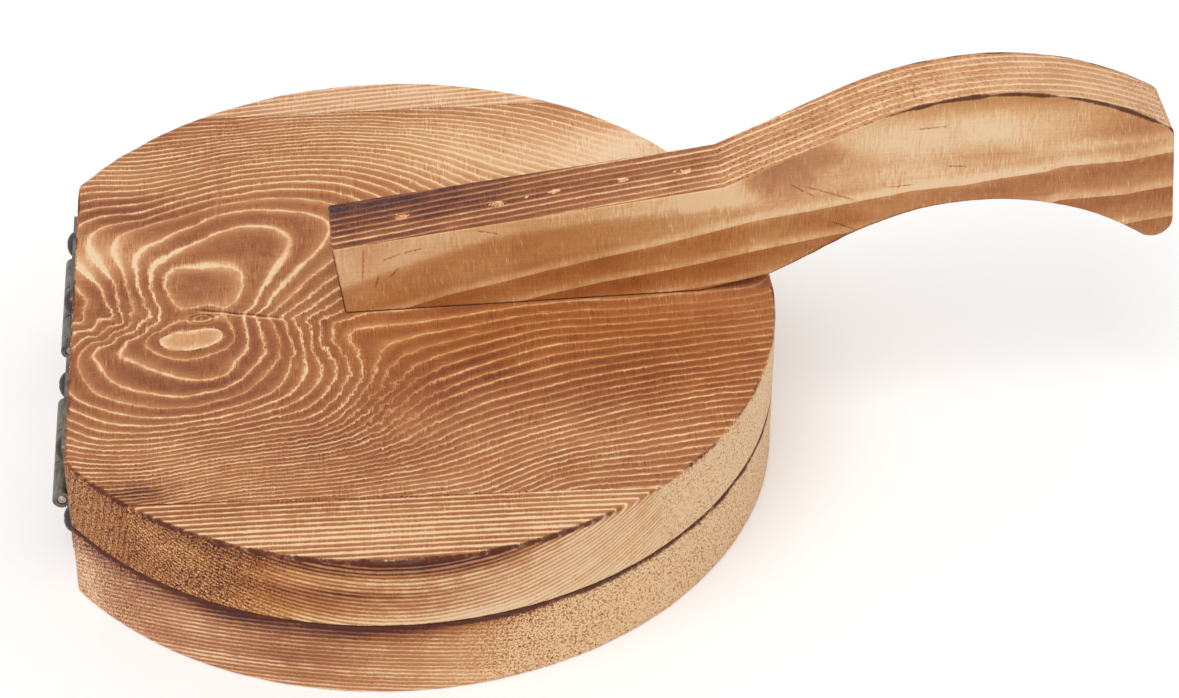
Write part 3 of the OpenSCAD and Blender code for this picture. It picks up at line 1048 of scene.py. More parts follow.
@dataclass
class Round:
    """The plan that both boards are cut to, and the glue lines across the lid."""

    radius: float = 75.0
    back: float = 61.4
    corner: float = 2.5
    near_line: tuple[float, float] = (-57.1, -1.3)
    far_line: tuple[float, float] = (64.8, 0.5)
    glue_gap: float = 0.006

    @property
    def corner_centre(self) -> tuple[float, float]:
        """Centre of the far upright corner."""
        across = self.back - self.corner
        return (-across, math.sqrt((self.radius - self.corner) ** 2 - across**2))

    @property
    def corner_turn(self) -> float:
        """Angle at which the round passes into its far corner."""
        return bearing(np.array(self.corner_centre))

    def cross(self, line: tuple[float, float], side: float) -> Array:
        """Where a glue line meets the round.

        Args:
            line: its height at the middle and its slant in degrees.
            side: -1 for the left end, 1 for the right one.
        Returns:
            The point: along the line by -h sin(a) +- sqrt((h sin(a))^2 - h^2 + r^2).
        """
        height, slant = line
        drop = height * math.sin(math.radians(slant))
        along = -drop + side * math.sqrt(drop**2 - height**2 + self.radius**2)
        return np.array([0, height]) + along * heading(slant)

    def arc(self, start: float, end: float) -> Arc:
        """Part of the round."""
        return Arc((0.0, 0.0), self.radius, start, end)

    def back_run(self, start: float, end: float) -> list[Arc | Line]:
        """Parts from an angle on the near side, round the flat back, to one on the far side.

        Args:
            start, end: angles on the round, near and far, in degrees.
        Returns:
            The parts from near to far.
        """
        cx, cy = self.corner_centre
        turn = self.corner_turn
        return [
            self.arc(start, -turn),
            Arc((cx, -cy), self.corner, -turn, -180),
            Line((-self.back, -cy), (-self.back, cy)),
            Arc((cx, cy), self.corner, 180, turn),
            self.arc(turn, end),
        ]

    def glue_run(self, line: tuple[float, float], gap: float, steps: int) -> Array:
        """Points along a glue line from the round's left to its right.

        Args:
            line: the glue line.
            gap: how far the run stands off it.
            steps: number of steps; the first and last are the longer ones that clear the arris.
        Returns:
            (steps + 1) x 2 points.
        """
        moved = (line[0] + gap, line[1])
        a, b = self.cross(moved, -1), self.cross(moved, 1)
        clear = 2.0 / math.dist(a, b)
        t = np.r_[0, np.linspace(clear, 1 - clear, steps - 1), 1][:, None]
        return a * (1 - t) + b * t

    def tip(self, line: tuple[float, float], side: float) -> Array:
        """Vector along the glue line that draws the rim in by one millimetre at a strip's tip.

        Args:
            line: the glue line.
            side: -1 for the left tip, 1 for the right one.
        Returns:
            The vector: -e / (e . n) for the outward run e of the line and the rim's normal n.
        """
        out = side * heading(line[1])
        return -out / (out @ (self.cross(line, side) / self.radius))


def worn(loop: Array, base: float, spread: float, seed: int, wavelength: float = 9.0) -> Array:
    """Arris size round an outline, never quite the same: base * (1 + spread * wavering)."""
    places = np.c_[loop, np.zeros(len(loop))]
    wavering = waver(places, wavelength, seed) + 0.6 * waver(places, 2.5, seed + 1)
    return base * (1 + spread * wavering)


@dataclass
class BoardPart:
    """A board or strip of one, from its four runs."""

    piece: Piece
    runs: tuple[Array, Array, Array, Array]
    low: float
    high: float
    grain: Grain
    seed: int
    rim: Array
    inward: Array | None = None
    radius: float = 75.0
    edge: float = 0.75
    low_edge: float = 0.40
    seam: float = 0.015
    rim_rows: int = 12
    ripple_depth: float = 0.05

    def build(self, finish: Material) -> bpy.types.Object:
        """Makes the part and dresses it.

        Args:
            finish: its material.
        Returns:
            The object.
        """
        slab = Slab(*self.runs, self.low, self.high, inward=self.inward, rim_rows=self.rim_rows)
        loop = slab.loop()
        upper = worn(loop, self.edge, 0.28, self.seed)
        lower = worn(loop, self.low_edge, 0.22, self.seed + 5)
        slab.arris_high = np.where(self.rim, upper, self.seam)
        slab.arris_low = np.where(self.rim, lower, self.seam)
        shell = slab.shell()
        # the sanded rim is never quite true: push it in by up to twice the ripple depth
        from_middle = np.hypot(*shell.points[:, :2].T)
        on_rim = smooth(self.radius - 1, self.radius, from_middle)
        push = self.ripple_depth * (1 + waver(shell.points * [1, 1, 2.2], 12.0, self.seed + 9))
        shell.points[:, :2] *= (1 - on_rim * push / self.radius)[:, None]
        mesh = shell.mesh(self.piece.name)
        # where a glued strip ends on the rim, the grain is still seen straight from outside
        out, level = shell.points[:, :2], np.hypot(*shell.facing[:, :2].T)
        out = out / np.maximum(np.hypot(*out.T), 1e-6)[:, None]
        outward = out * level[:, None]
        shell.facing[:, :2] = np.where((on_rim > 0)[:, None], outward, shell.facing[:, :2])
        self.grain.lay(mesh, shell)
        return self.piece.place(mesh, finish)


@dataclass
class Boards:
    """The base board and the lid, whose three strips are glued edge to edge."""

    plan: Round = field(default_factory=Round)
    base_top: float = 16.5
    lid_low: float = 16.5
    lid_top: float = 32.0
    # steps of the mesh along the press and across it, and across the two narrow strips
    across: int = 120
    deep: int = 120
    near_deep: int = 26
    far_deep: int = 18
    # degrees of the round that the ends of a narrow strip take up
    tip_turn: float = 15.0
    # half the angle that the base's front and back sides take up
    quarter: float = 45.0
    fibre: Triple = (1.0, 0.02, 0.0)
    base_fibre: Triple = (0.985, -0.17, 0.0)
    knots: GrowthMap = field(default_factory=GrowthMap)

    # patches of burn on the lid's middle strip, by x and y: spared ones, then torched and mixed
    LID_BURN: ClassVar[Patches] = (
        (-0.42, 56, 44, 28, 15), (-0.22, 22, 47, 28, 14), (-0.16, 14, 58, 20, 8),
        (-0.06, -15, 42, 22, 9), (-0.16, -55, 46, 9, 6), (0.07, -22, 57, 11, 5),
        (0.18, -50, 33, 11, 6), (-0.36, -58, 20, 9, 6.5), (-0.10, -46, 16, 14, 6),
        (-0.09, -20, 5, 10, 9), (0.10, -58, 3, 6, 8), (-0.10, -36, 7, 9, 8),
        (0.04, 30, -10, 40, 8), (0.15, 46, -24, 34, 12), (0.05, 0, -20, 9, 12),
        (0.12, -36, -24, 13, 8), (0.30, -48, -53, 7, 3), (0.10, -32, -39, 14, 6),
        (-0.10, 3, -38, 8, 6), (-0.10, 38, -41, 18, 7), (0.12, -50, -50, 8, 6),
        (0.09, 2, -38, 30, 13), (0.06, 16, -25, 12, 8), (0.06, -57, 31, 7, 6),
        (-0.10, -59, 14, 6, 4), (-0.04, 58, 50, 16, 9), (-0.05, -28, 19, 12, 6),
        (-0.09, 14, 46, 14, 9),
    )
    # patches on the near strip's rim, by degrees round and height, and the torch's bands there
    NEAR_RIM: ClassVar[Patches] = (
        (-0.12, -35, 27, 6, 6), (0.26, 11, 29.5, 10, 3.0), (0.07, 6, 27, 18, 5),
    )
    NEAR_BANDS: ClassVar[Patches] = (
        (0.42, -4, 30.2, 20, 2.2), (0.34, -8, 24.0, 14, 1.4), (0.12, -5, 21.2, 12, 1.0),
        (-0.34, 2, 17.2, 22, 1.7), (-0.14, -6, 27.6, 12, 1.2), (0.24, 16, 31.5, 22, 1.1),
    )
    # patches on the base's rim: dark ones under the parting line, burn and painted shade under the
    # lid's edge, then spared ones
    BASE_RIM: ClassVar[Patches] = (
        (0.34, -36, 15.0, 24, 2.6), (0.12, -22, 8.5, 10, 5.5), (0.26, -4, 14.6, 15, 2.0),
        (-0.10, 4, 5, 20, 4), (0.30, 4, 16.2, 22, 1.3), (-0.30, -52, 6, 4, 8),
        (-0.14, -30, 0.5, 60, 2.4), (-0.02, 8, 6, 14, 5), (-0.12, -30, 10, 10, 5),
    )
    # where the lid is redder, and where its lines are wilder, broader and plainer
    LID_WARM: ClassVar[Patches] = (
        (0.62, 30, -12, 40, 16), (0.30, 60, -30, 20, 12), (0.20, 5, 46, 30, 12),
        (-0.30, 58, 46, 24, 14),
    )
    LID_WILD: ClassVar[Patches] = (
        (0.6, -14, -12, 16, 20), (1.2, 0, -30, 9, 13), (0.45, -45, 2, 14, 20),
    )
    LID_THICK: ClassVar[Patches] = (
        (0.9, -36, 15.5, 9, 3), (0.4, -21, 14, 4, 9), (0.35, -55, 19, 7, 6),
        (0.2, -50, -13, 6, 3),
    )
    LID_CLEAR: ClassVar[Patches] = (
        (-0.55, 2, -30, 7, 11), (-0.35, 50, -10, 40, 12), (-0.35, 66, -4, 20, 10),
        (-0.84, 60, 44, 26, 15), (-0.25, 25, 50, 30, 14), (0.5, -36, 12, 12, 7),
    )

    # -- how deep each part is burnt

    def lid_burn(self, p: Array, n: Array) -> Array:
        """Burn over the lid's middle strip: a middling tan with torched and spared patches."""
        x, y = p[:, 0], p[:, 1]
        face = patched(x, y, 0.52, self.LID_BURN) + 0.05 * waver(p, 26.0, 31)
        rim = 0.42 + 0.22 * smooth(-20, -50, x) - 0.38 * smooth(20, 50, x)
        rim = rim + 0.04 * waver(p, 14.0, 33)
        rim = rim + 0.14 * smooth(3, 0.5, self.lid_top - p[:, 2]) * smooth(-30, -50, x)
        rim = rim + 0.20 * blob(x, y, -49, -57, 4, 4) - 0.18 * smooth(46, 66, x)
        under = smooth(0.2, 0.8, -n[:, 2])
        inner_face = 0.40 + 0.08 * waver(p, 22.0, 35)
        return by_facing(n, face, rim) * (1 - under) + inner_face * under

    def near_burn(self, p: Array, n: Array) -> Array:
        """Burn over the near strip, with the dark bands that the torch left along its rim."""
        x, y, z = p.T
        face = 0.43 + 0.10 * smooth(-63, -58, y) + 0.10 * blob(x, y, -35, -60, 14, 6)
        face = face - 0.07 * smooth(10, 40, x) + 0.05 * waver(p, 20.0, 41)
        arc = round_turn(p)
        rim = 0.60 + 0.13 * smooth(-8, -30, arc) - 0.44 * smooth(-22, 30, arc)
        rim = rim + 0.04 * waver(p, 12.0, 43)
        rim = rim + 0.14 * smooth(3, 0.5, self.lid_top - z) * smooth(-5, -25, arc)
        rim = patched(arc, z, rim, self.NEAR_RIM)
        return by_facing(n, face, rim + patched(arc, z, 0.0, self.NEAR_BANDS))

    def far_burn(self, p: Array, n: Array) -> Array:
        """Burn over the pale far strip."""
        face = 0.18 + 0.12 * smooth(5, -35, p[:, 0]) + 0.05 * waver(p, 18.0, 47)
        return by_facing(n, face, 0.34)

    def base_burn(self, p: Array, n: Array) -> Array:
        """Burn over the base: dark under the parting line on the near left (burn and painted
        shade), sandy on the right.
        """
        face = 0.48 + 0.07 * waver(p, 24.0, 51)
        arc = round_turn(p)
        rim = 0.60 - 0.62 * smooth(-16, 40, arc) * smooth(262, 190, arc) + 0.04 * waver(p, 13.0, 53)
        rim = rim - 0.05 * blob(arc, 0, -42, 0, 22, 1)
        return by_facing(n, face, patched(arc, p[:, 2], rim, self.BASE_RIM))

    # -- how wide the edges are charred; along the parting line the dark band is char and painted shade

    def from_rim(self, p: Array) -> Array:
        """Distance in from the round or the flat back."""
        return np.minimum(self.plan.radius - np.hypot(p[:, 0], p[:, 1]), p[:, 0] + self.plan.back)

    def lid_edge(self, p: Array) -> Array:
        """The lid's top edge is charred 1 to 2 mm on the near side; its lower edge a hair of char
        and painted shade.
        """
        arc = round_turn(p)
        inward = np.maximum(self.from_rim(p), 0)
        width = patched(arc, 0, 0.50, ((0.30, -20, 0, 34, 1), (0.45, 6, 0, 20, 1)))
        width = width * (1 + 0.35 * waver(p, 7.0, 73))
        upper = (inward + self.lid_top - p[:, 2]) / width
        # the lower edge's hair line is char and painted shade in the parting line
        lower = (inward + p[:, 2] - self.lid_low) / 0.42
        return np.minimum(upper, lower)

    def base_edge(self, p: Array) -> Array:
        """The base is dark along the parting line, widest on the near left: char and painted shade
        under the lid.
        """
        inward = np.maximum(self.from_rim(p), 0)
        width = 1.1 + 0.5 * blob(round_turn(p), 0, -18, 0, 34, 1)
        return (inward + self.base_top - p[:, 2]) / (width * (1 + 0.3 * waver(p, 8.0, 74)))

    # -- how the growth rings lie

    def lid_rings(self, p: Array) -> Array:
        """The knots' map on top; lower down the rings lie a little further on."""
        return self.knots.rings(p) + 0.16 * (self.lid_top - p[:, 2])

    def near_rings(self, p: Array) -> Array:
        """Flat rings that run along the strip and lean: y over 1.34 mm, less z over 0.95 mm."""
        sway = 0.22 * waver(p * [0.35, 1, 1], 26.0, 61)
        return RING_START + p[:, 1] / 1.34 - p[:, 2] / 0.95 + sway

    def far_rings(self, p: Array) -> Array:
        """Rings along the far strip that fan out a little to the right."""
        x, y, z = p.T
        sway = 0.25 * waver(p * [0.35, 1, 1], 24.0, 63)
        return RING_START + (y - 0.02 * x) / (1.55 + 0.002 * x) - z / 1.8 + sway

    def base_rings(self, p: Array) -> Array:
        """Rings turned 10 degrees from the press's length, lying nearly flat."""
        c, s = heading(10)
        square = p[:, 0] * s + p[:, 1] * c
        sway = 0.35 * waver(p * [0.4, 1, 1], 40.0, 65)
        return RING_START + square / 1.55 + p[:, 2] / 1.0 + sway

    # -- redness, plainness and wavering of the lines

    def lid_warm(self, p: Array, n: Array) -> Array:
        """The lower right by the lever is the reddest."""
        x, y = p[:, 0], p[:, 1]
        rim = 0.85 * smooth(10, -50, x) + 0.1 + 0.45 * smooth(20, 50, x)
        return np.clip(by_facing(n, patched(x, y, 0.42, self.LID_WARM), rim), 0, 1)

    def near_warm(self, p: Array, n: Array) -> Array:
        """Golden on top and ochre where the near strip's rim turns towards the hinges."""
        rim = 0.85 * smooth(20, -35, p[:, 0]) + 0.2 + 0.3 * smooth(0, 40, p[:, 0])
        return np.clip(by_facing(n, 0.5, rim), 0, 1)

    def near_clear(self, p: Array, n: Array) -> Array:
        """Strong plain lines on the near strip, weaker at its two ends on the rim."""
        return by_facing(n, 1.4, 0.95 - 0.35 * smooth(30, 45, p[:, 0]))

    def base_warm(self, p: Array, _: Array) -> Array:
        """The base is golden on the right, cooler towards the hinges."""
        return 0.60 * smooth(-50, 30, p[:, 0])

    def base_clear(self, p: Array, n: Array) -> Array:
        """The base's lines are plain from the hinges to the front and fade to the right."""
        rim = 0.80 + 0.25 * smooth(-15, -45, p[:, 0]) - 0.70 * smooth(0, 36, p[:, 0])
        rim = rim - 0.4 * smooth(12.5, 15.5, p[:, 2])
        return by_facing(n, 1.0, np.clip(rim, 0.1, 1))

    def lid_wild(self, p: Array, _: Array) -> Array:
        """The lines waver most beside the knots and in the churned patch in the middle."""
        return patched(p[:, 0], p[:, 1], 0.30, self.LID_WILD)

    def lid_thick(self, p: Array, _: Array) -> Array:
        """The lines are broad and soft over the upper knot and in the spared patch on the left."""
        return patched(p[:, 0], p[:, 1], 0.14, self.LID_THICK)

    def lid_clear(self, p: Array, n: Array) -> Array:
        """The lines fade in the churned patch, in the reddest area and on the right-hand rim."""
        x, y = p[:, 0], p[:, 1]
        rim = 0.55 - 0.35 * smooth(-20, 20, x) - 0.30 * smooth(0, 40, y) * smooth(-20, -40, x)
        return by_facing(n, np.clip(patched(x, y, 1.0, self.LID_CLEAR), 0, 1.5), rim)

    # -- the parts

    def strip(
        self, side: str, runs: tuple[Array, Array, Array, Array], glued: Sequence[slice],
        tips: dict[int, Array], grain: Grain,
    ) -> BoardPart:
        """One strip of the lid.

        Args:
            side: which strip: near, middle or far.
            runs: its outline.
            glued: the points of the outline that lie between the ends of a glue line.
            tips: the way that the rim is drawn in at each point where it meets a glue line.
            grain: its grain.
        Returns:
            The strip.
        """
        count = 2 * (len(runs[0]) + len(runs[1]) - 2)
        rim, inward = np.ones(count, bool), np.full((count, 2), np.nan)
        for points in glued:
            rim[points] = False
        for at, way in tips.items():
            inward[at] = way
        piece = Piece(f"{side}_strip", Body.LID, "lid_pine", (f"lid_strip_{side}",))
        return BoardPart(
            piece, runs, self.lid_low, self.lid_top, grain, seed=200, rim=rim, inward=inward,
        )

    def strips(self) -> list[BoardPart]:
        """The lid's three strips.

        Returns:
            The near, middle and far strips.
        """
        plan, m, k, gap = self.plan, self.across, self.deep, self.plan.glue_gap
        near, far = plan.near_line, plan.far_line
        near_left, near_right = (bearing(plan.cross(near, side)) for side in (-1, 1))
        far_left, far_right = (bearing(plan.cross(far, side)) for side in (-1, 1))
        turn, fibre = self.tip_turn, np.array(self.fibre)
        ends = self.near_deep
        near_strip = self.strip("near", (
            run([plan.arc(near_left + turn, near_right - turn)], m),
            run([plan.arc(near_right - turn, near_right)], ends),
            plan.glue_run(near, -gap, m),
            run([plan.arc(near_left + turn, near_left)], ends),
        ), (slice(m + ends + 1, 2 * m + ends),), {
            m + ends: plan.tip(near, 1), 2 * m + ends: plan.tip(near, -1),
        }, Grain(
            self.near_rings, fibre, self.near_burn, self.near_warm, self.near_clear, steady(0.24),
            steady(0.12), self.lid_edge, end_gain=(0.75, 1.75),
        ))
        ends = self.far_deep
        middle_strip = self.strip("middle", (
            plan.glue_run(near, gap, m),
            run([plan.arc(near_right, far_right)], k),
            plan.glue_run(far, -gap, m),
            run(plan.back_run(near_left, far_left), k),
        ), (slice(1, m), slice(m + k + 1, 2 * m + k)), {
            0: plan.tip(near, -1), m: plan.tip(near, 1),
            m + k: plan.tip(far, 1), 2 * m + k: plan.tip(far, -1),
        }, Grain(
            self.lid_rings, fibre, self.lid_burn, self.lid_warm, self.lid_clear, self.lid_thick,
            self.lid_wild, self.lid_edge,
        ))
        far_strip = self.strip("far", (
            plan.glue_run(far, gap, m),
            run([plan.arc(far_right, far_right + turn)], ends),
            run([plan.arc(far_left - turn, far_right + turn)], m),
            run([plan.arc(far_left, far_left - turn)], ends),
        ), (slice(1, m),), {0: plan.tip(far, -1), m: plan.tip(far, 1)}, Grain(
            self.far_rings, fibre, self.far_burn, steady(0.15), steady(0.9), steady(0.15),
            steady(0.15), self.lid_edge,
        ))
        return [near_strip, middle_strip, far_strip]

    def base(self) -> BoardPart:
        """The base board, in one piece.

        Returns:
            The board.
        """
        plan, m, k, quarter = self.plan, self.across, self.deep, self.quarter
        runs = (
            run([plan.arc(-180 + quarter, -quarter)], m),
            run([plan.arc(-quarter, quarter)], k),
            run([plan.arc(180 - quarter, quarter)], m),
            run(plan.back_run(-180 + quarter, 180 - quarter), k),
        )
        grain = Grain(
            self.base_rings, np.array(self.base_fibre), self.base_burn, self.base_warm,
            self.base_clear, steady(0.15), steady(0.16), self.base_edge, end_gain=(1.8, 1.2),
        )
        piece = Piece("base_round", Body.BASE, "base_pine", ("base_board",))
        return BoardPart(
            piece, runs, 0.0, self.base_top, grain, seed=300, rim=np.ones(2 * m + 2 * k, bool),
        )

    def build(self, finish: Material) -> None:
        """Makes the base and the lid's strips."""
        for part in (self.base(), *self.strips()):
            part.build(finish)


@dataclass
class Lever:
    """The bent wooden lever, nailed along the lid. Its own frame is u along, v across, w up.

    From the foot at the hinges it has a flat seat and a straight top, which kink up into a ramp,
    a crest with an arch for the fingers below, and a rounded toe under the grip's end.
    """

    # where the frame's origin is on the press, and its turn in degrees
    foot: Triple = (-8.9, 4.3, 32.0)
    turn: float = 1.5
    width: float = 14.5
    front_h: float = 15.5
    front_lean: float = 7.3
    top_slope: float = 7.0
    seat: float = 69.4
    kink_past: float = 4.0
    lift_slope: float = 12.2
    ramp_slope: float = 30.5
    crest_r: float = 64.0
    crest_past: float = 1.3
    crest_h: float = 42.5
    arch_r: float = 55.8
    arch_past: float = 54.2
    arch_h: float = 17.8
    toe_past: float = 38.8
    toe_r: float = 3.8
    end_lean: float = 5.7
    end_corner: float = 2.5
    soften: float = 0.6
    fibre: Triple = (1.0, 0.03, 0.1)
    # steps of the mesh along the lever and up its ends
    along: int = 300
    high: int = 26
    # scratches on the side: places along and up, slant in degrees and half length
    marks: tuple[tuple[float, float, float, float], ...] = (
        (3.9, 11.4, 87, 4.2), (6.4, 7.2, 76, 1.8), (9.4, 12.9, 20, 2.2), (9.8, 9.2, 48, 1.6),
        (13.6, 14.2, 12, 2.0), (27.8, 17.5, -14, 2.8), (93.6, 21.9, -22, 6.2),
        (88.5, 22.8, -34, 3.4), (107.5, 22.5, 4, 3.0), (118.5, 26.4, -6, 2.4),
        (113, 35.8, 3, 3.2), (97, 13.8, -26, 3.0),
    )
    # torn spots on the top: places along and across, and size; the last two are small chips
    # beside the five brads
    brads: tuple[Triple, ...] = (
        (12, -0.2, 1.0), (30.5, -0.9, 1.0), (41.5, 0.2, 0.9), (54.8, 0.4, 0.9), (66.8, -0.1, 0.9),
        (36.0, -0.4, 0.35), (64.6, 0.2, 0.4),
    )
    # how far along the top is straight and nailed
    nailed: float = 72.0

    # along the lever, and how high the first pale stripe's sharp lower edge is on the side
    STRIPE: ClassVar[tuple[tuple[float, ...], tuple[float, ...]]] = (
        (-5, 12, 20, 30, 40, 50, 60, 70, 80, 88, 100, 110, 120, 127, 136, 139, 146, 152, 157, 165),
        (-3.6, 0.3, 2.8, 5.0, 7.6, 9.9, 11.6, 13.7, 16.2, 17.5, 19.6, 21.1, 21.5, 22.6, 23.7,
         24.8, 25.1, 25.3, 26.3, 27.4),
    )
    # along the lever, and how high the ochre and pale upper part starts
    UPPER: ClassVar[tuple[tuple[float, ...], tuple[float, ...]]] = (
        (-5, 0, 10, 20, 28, 40, 50, 75), (4, 6, 10, 13, 15.8, 17.5, 18.6, 20),
    )
    # patches of burn on the side, by places along and up; the palest are where the grip starts
    SIDE_BURN: ClassVar[Patches] = (
        (-0.08, 8, 11, 14, 5), (-0.10, 62, 13, 12, 3), (-0.16, 74, 16, 10, 2),
        (0.07, 38, 19.5, 10, 1.5), (0.08, 132, 41, 22, 2), (0.12, 153, 32, 12, 2.4),
        (-0.30, 108, 33, 17, 6.5), (-0.16, 128, 35, 20, 4.5), (-0.20, 84, 20.5, 22, 4),
        (-0.20, 114, 24.5, 22, 2.6), (0.10, 128, 28.7, 9, 0.9), (0.06, 122, 41, 20, 1.4),
    )

    def top_at(self, u: Array | float) -> Array | float:
        """Height of the straight top over the lid."""
        front = -self.front_h * slope(self.front_lean)
        return self.front_h + (u - front) * slope(self.top_slope)

    def runs(self) -> tuple[Array, Array, Array, Array]:
        """The outline's four runs: underside, grip's end, top and front.

        Returns:
            Bottom, right, top and left runs.
        """
        arch = np.array([self.seat + self.arch_past, self.arch_h - self.arch_r])
        crest = arch * [1, 0] + [self.crest_past, self.crest_h - self.crest_r]
        kink = np.array([self.seat + self.kink_past, self.top_at(self.seat + self.kink_past)])
        reach = crest - kink
        far = np.hypot(*reach)
        touch = kink + math.sqrt(far**2 - self.crest_r**2) * heading(
            bearing(reach) + math.degrees(math.asin(self.crest_r / far))
        )
        ramp = arch + self.arch_r * heading(90 + self.ramp_slope)
        seat = np.array([self.seat, 0.0])
        lifted, ramped = slope(self.lift_slope), slope(self.ramp_slope)
        forward = ((ramp - seat)[1] - (ramp - seat)[0] * ramped) / (lifted - ramped)
        lift = seat + forward * np.array([1, lifted])
        off = self.toe_past - self.toe_r
        toe = arch + [off, math.sqrt((self.arch_r + self.toe_r) ** 2 - off**2)]
        lean = self.end_lean
        normal = heading(lean)
        reach_end = (toe - crest) @ normal + self.toe_r
        inner = self.crest_r - self.end_corner
        depth = reach_end - self.end_corner
        square = np.array([-normal[1], normal[0]])
        end = crest + depth * normal + math.sqrt(inner**2 - depth**2) * square
        end_turn = bearing(end - crest)
        toe_turn = bearing(arch - toe)
        front = np.array([-self.front_h * slope(self.front_lean), self.front_h])
        # rounds of radius r at the foot's two front corners, each cut in two where runs meet
        r, low_turn = self.soften, 180 + self.front_lean
        low_c = self.corner_round(np.zeros(2), 270.0, low_turn, r)
        top_c = self.corner_round(front, low_turn, 90 + self.top_slope, r)
        half_low = (270 + low_turn) / 2
        half_top = (low_turn + 90 + self.top_slope) / 2
        toe_half = toe_turn + 20
        toe_end = lean + (360 if toe_turn > 0 else 0)
        end_half = (lean + end_turn) / 2
        bottom = run([
            Arc(low_c, r, half_low, 270),
            Line(on_round(low_c, r, 270), seat),
            Line(seat, lift),
            Line(lift, ramp),
            Arc(arch, self.arch_r, 90 + self.ramp_slope, toe_turn + 180),
            Arc(toe, self.toe_r, toe_turn, toe_half),
        ], self.along, least=5)
        right = run([
            Arc(toe, self.toe_r, toe_half, toe_end),
            Line(on_round(toe, self.toe_r, lean), on_round(end, self.end_corner, lean)),
            Arc(end, self.end_corner, lean, end_half),
        ], self.high, least=5)
        top = run([
            Arc(top_c, r, half_top, 90 + self.top_slope),
            Line(on_round(top_c, r, 90 + self.top_slope), kink),
            Line(kink, touch),
            Arc(crest, self.crest_r, bearing(touch - crest), end_turn),
            Arc(end, self.end_corner, end_turn, end_half),
        ], self.along, least=5)
        left = run([
            Arc(low_c, r, half_low, low_turn),
            Line(on_round(low_c, r, low_turn), on_round(top_c, r, low_turn)),
            Arc(top_c, r, low_turn, half_top),
        ], self.high, least=4)
        return bottom, right, top, left

    @staticmethod
    def corner_round(corner: Array, first: float, second: float, radius: float) -> Array:
        """Centre of a corner's round, for outward ways a, b: corner - r (a + b) / (1 + a . b)."""
        a, b = heading(first), heading(second)
        return corner - radius * (a + b) / (1 + a @ b)

    def frame(self) -> tuple[Array, Array]:
        """The (u, w, -v) frame in the press: its three axes as rows, and its origin."""
        c, s = heading(self.turn)
        return np.array([[c, s, 0], [0, 0, 1], [s, -c, 0]]), np.array(self.foot)

    def own(self, p: Array) -> tuple[Array, Array, Array]:
        """Lengths along, across and up in the lever's own frame, of places on the press."""
        axes, foot = self.frame()
        local = (p - foot) @ axes.T
        return local[:, 0], -local[:, 2], local[:, 1]

    # -- growth bands and burn

    def stripe(self, u: Array) -> Array:
        """Height of the sharp lower edge of the first pale stripe on the lever's side."""
        return np.interp(u, *self.STRIPE)

    def stripe_gap(self, u: Array) -> Array:
        """Distance from one pale stripe to the next one below, over 0.916."""
        return np.interp(u, (0, 35, 60, 80, 95, 137, 160), (6.0, 6.45, 7.0, 7.9, 7.6, 8.9, 9.2))

    def rings(self, p: Array) -> Array:
        """1.9 mm rings across the lever, and bands d + d^2 / 10 down its sides for d gaps."""
        u, v, w = self.own(p)
        down = (self.stripe(u) - w) / self.stripe_gap(u)
        bands = down + 0.1 * down * np.maximum(down, 0)
        sway = 0.025 * waver(p * [0.3, 1, 1], 10.0, 81)
        return RING_START - (v + self.width / 2) / 1.9 + bands + sway

    def side(self, n: Array) -> Array:
        """1 on the lever's two flat sides, 0 on its top, ends and underside."""
        return smooth(0.55, 0.85, np.abs(n @ self.frame()[0][2]))

    def burn(self, p: Array, n: Array) -> Array:
        """Burn: nearly black-brown on the straight top, golden on the sides."""
        u, v, w = self.own(p)
        top = 0.76 - 0.20 * smooth(22, 66, u) - 0.15 * smooth(68, 78, u) - 0.20 * smooth(85, 150, u)
        top = top + 0.04 * waver(p, 9.0, 83) + 0.22 * blob(u, v, 2, 5.6, 26, 3.6)
        top = top + 0.06 * smooth(3.5, 7.0, v) * smooth(75, 95, u)
        top = top - 0.07 * blob(u, v, 50, -5, 90, 2.2)
        side = 0.38 - 0.04 * smooth(55, 95, u) + 0.04 * waver(p, 16.0, 85)
        upper = w - np.interp(u, *self.UPPER)
        side = side - 0.26 * smooth(-1.2, 1.0, upper) * smooth(84, 74, u)
        side = patched(u, w, side, self.SIDE_BURN)
        glow_at = 28.2 + (u - 130) * 0.083
        side = side - 0.22 * blob(u, w - glow_at, 150, 0, 17, 1.3) * smooth(118, 136, u)
        side = side + 0.10 * blob(u, w, 152, 35, 12, 3.2) * smooth(130, 145, u)
        smudge = blob(u, w, 84, 25.5, 6.5, 4.4) + blob(u, w, 91, 31, 6, 2.4)
        side = side + 0.19 * smooth(0.15, 0.6, smudge + 0.12 * waver(p, 3.5, 88))
        side = side + 0.10 * blob(u, w, 5.5, 11.5, 3, 4) + 0.14 * blob(u, w, 98, 14.5, 8, 2)
        low = smooth(0.0, 0.6, self.stripe(u) - w)
        side = side + low * (0.04 + 0.12 * smooth(100, 140, u)) - 0.07 * smooth(100, 125, u)
        flat = self.side(n)
        return top * (1 - flat) + side * flat

    def warm(self, p: Array, n: Array) -> Array:
        """Sides golden brown, top cool brown; grey in the smudge under the kink."""
        u, v, w = self.own(p)
        flat = self.side(n)
        smudge = blob(u, w, 85, 28, 6, 5)
        side = 0.82 - 0.34 * smooth(60, 95, u) - smudge - 0.25 * blob(u, w, 6, 13, 10, 5)
        side = side + 0.30 * smooth(0.5, -0.5, w - self.stripe(u)) * smooth(125, 95, u)
        side = side + 0.45 * blob(u, w, 124, 41.5, 26, 4)
        return np.clip(flat * side + (0.35 - 0.3 * blob(u, v, 4, 6.5, 26, 3.0)) * (1 - flat), 0, 1)

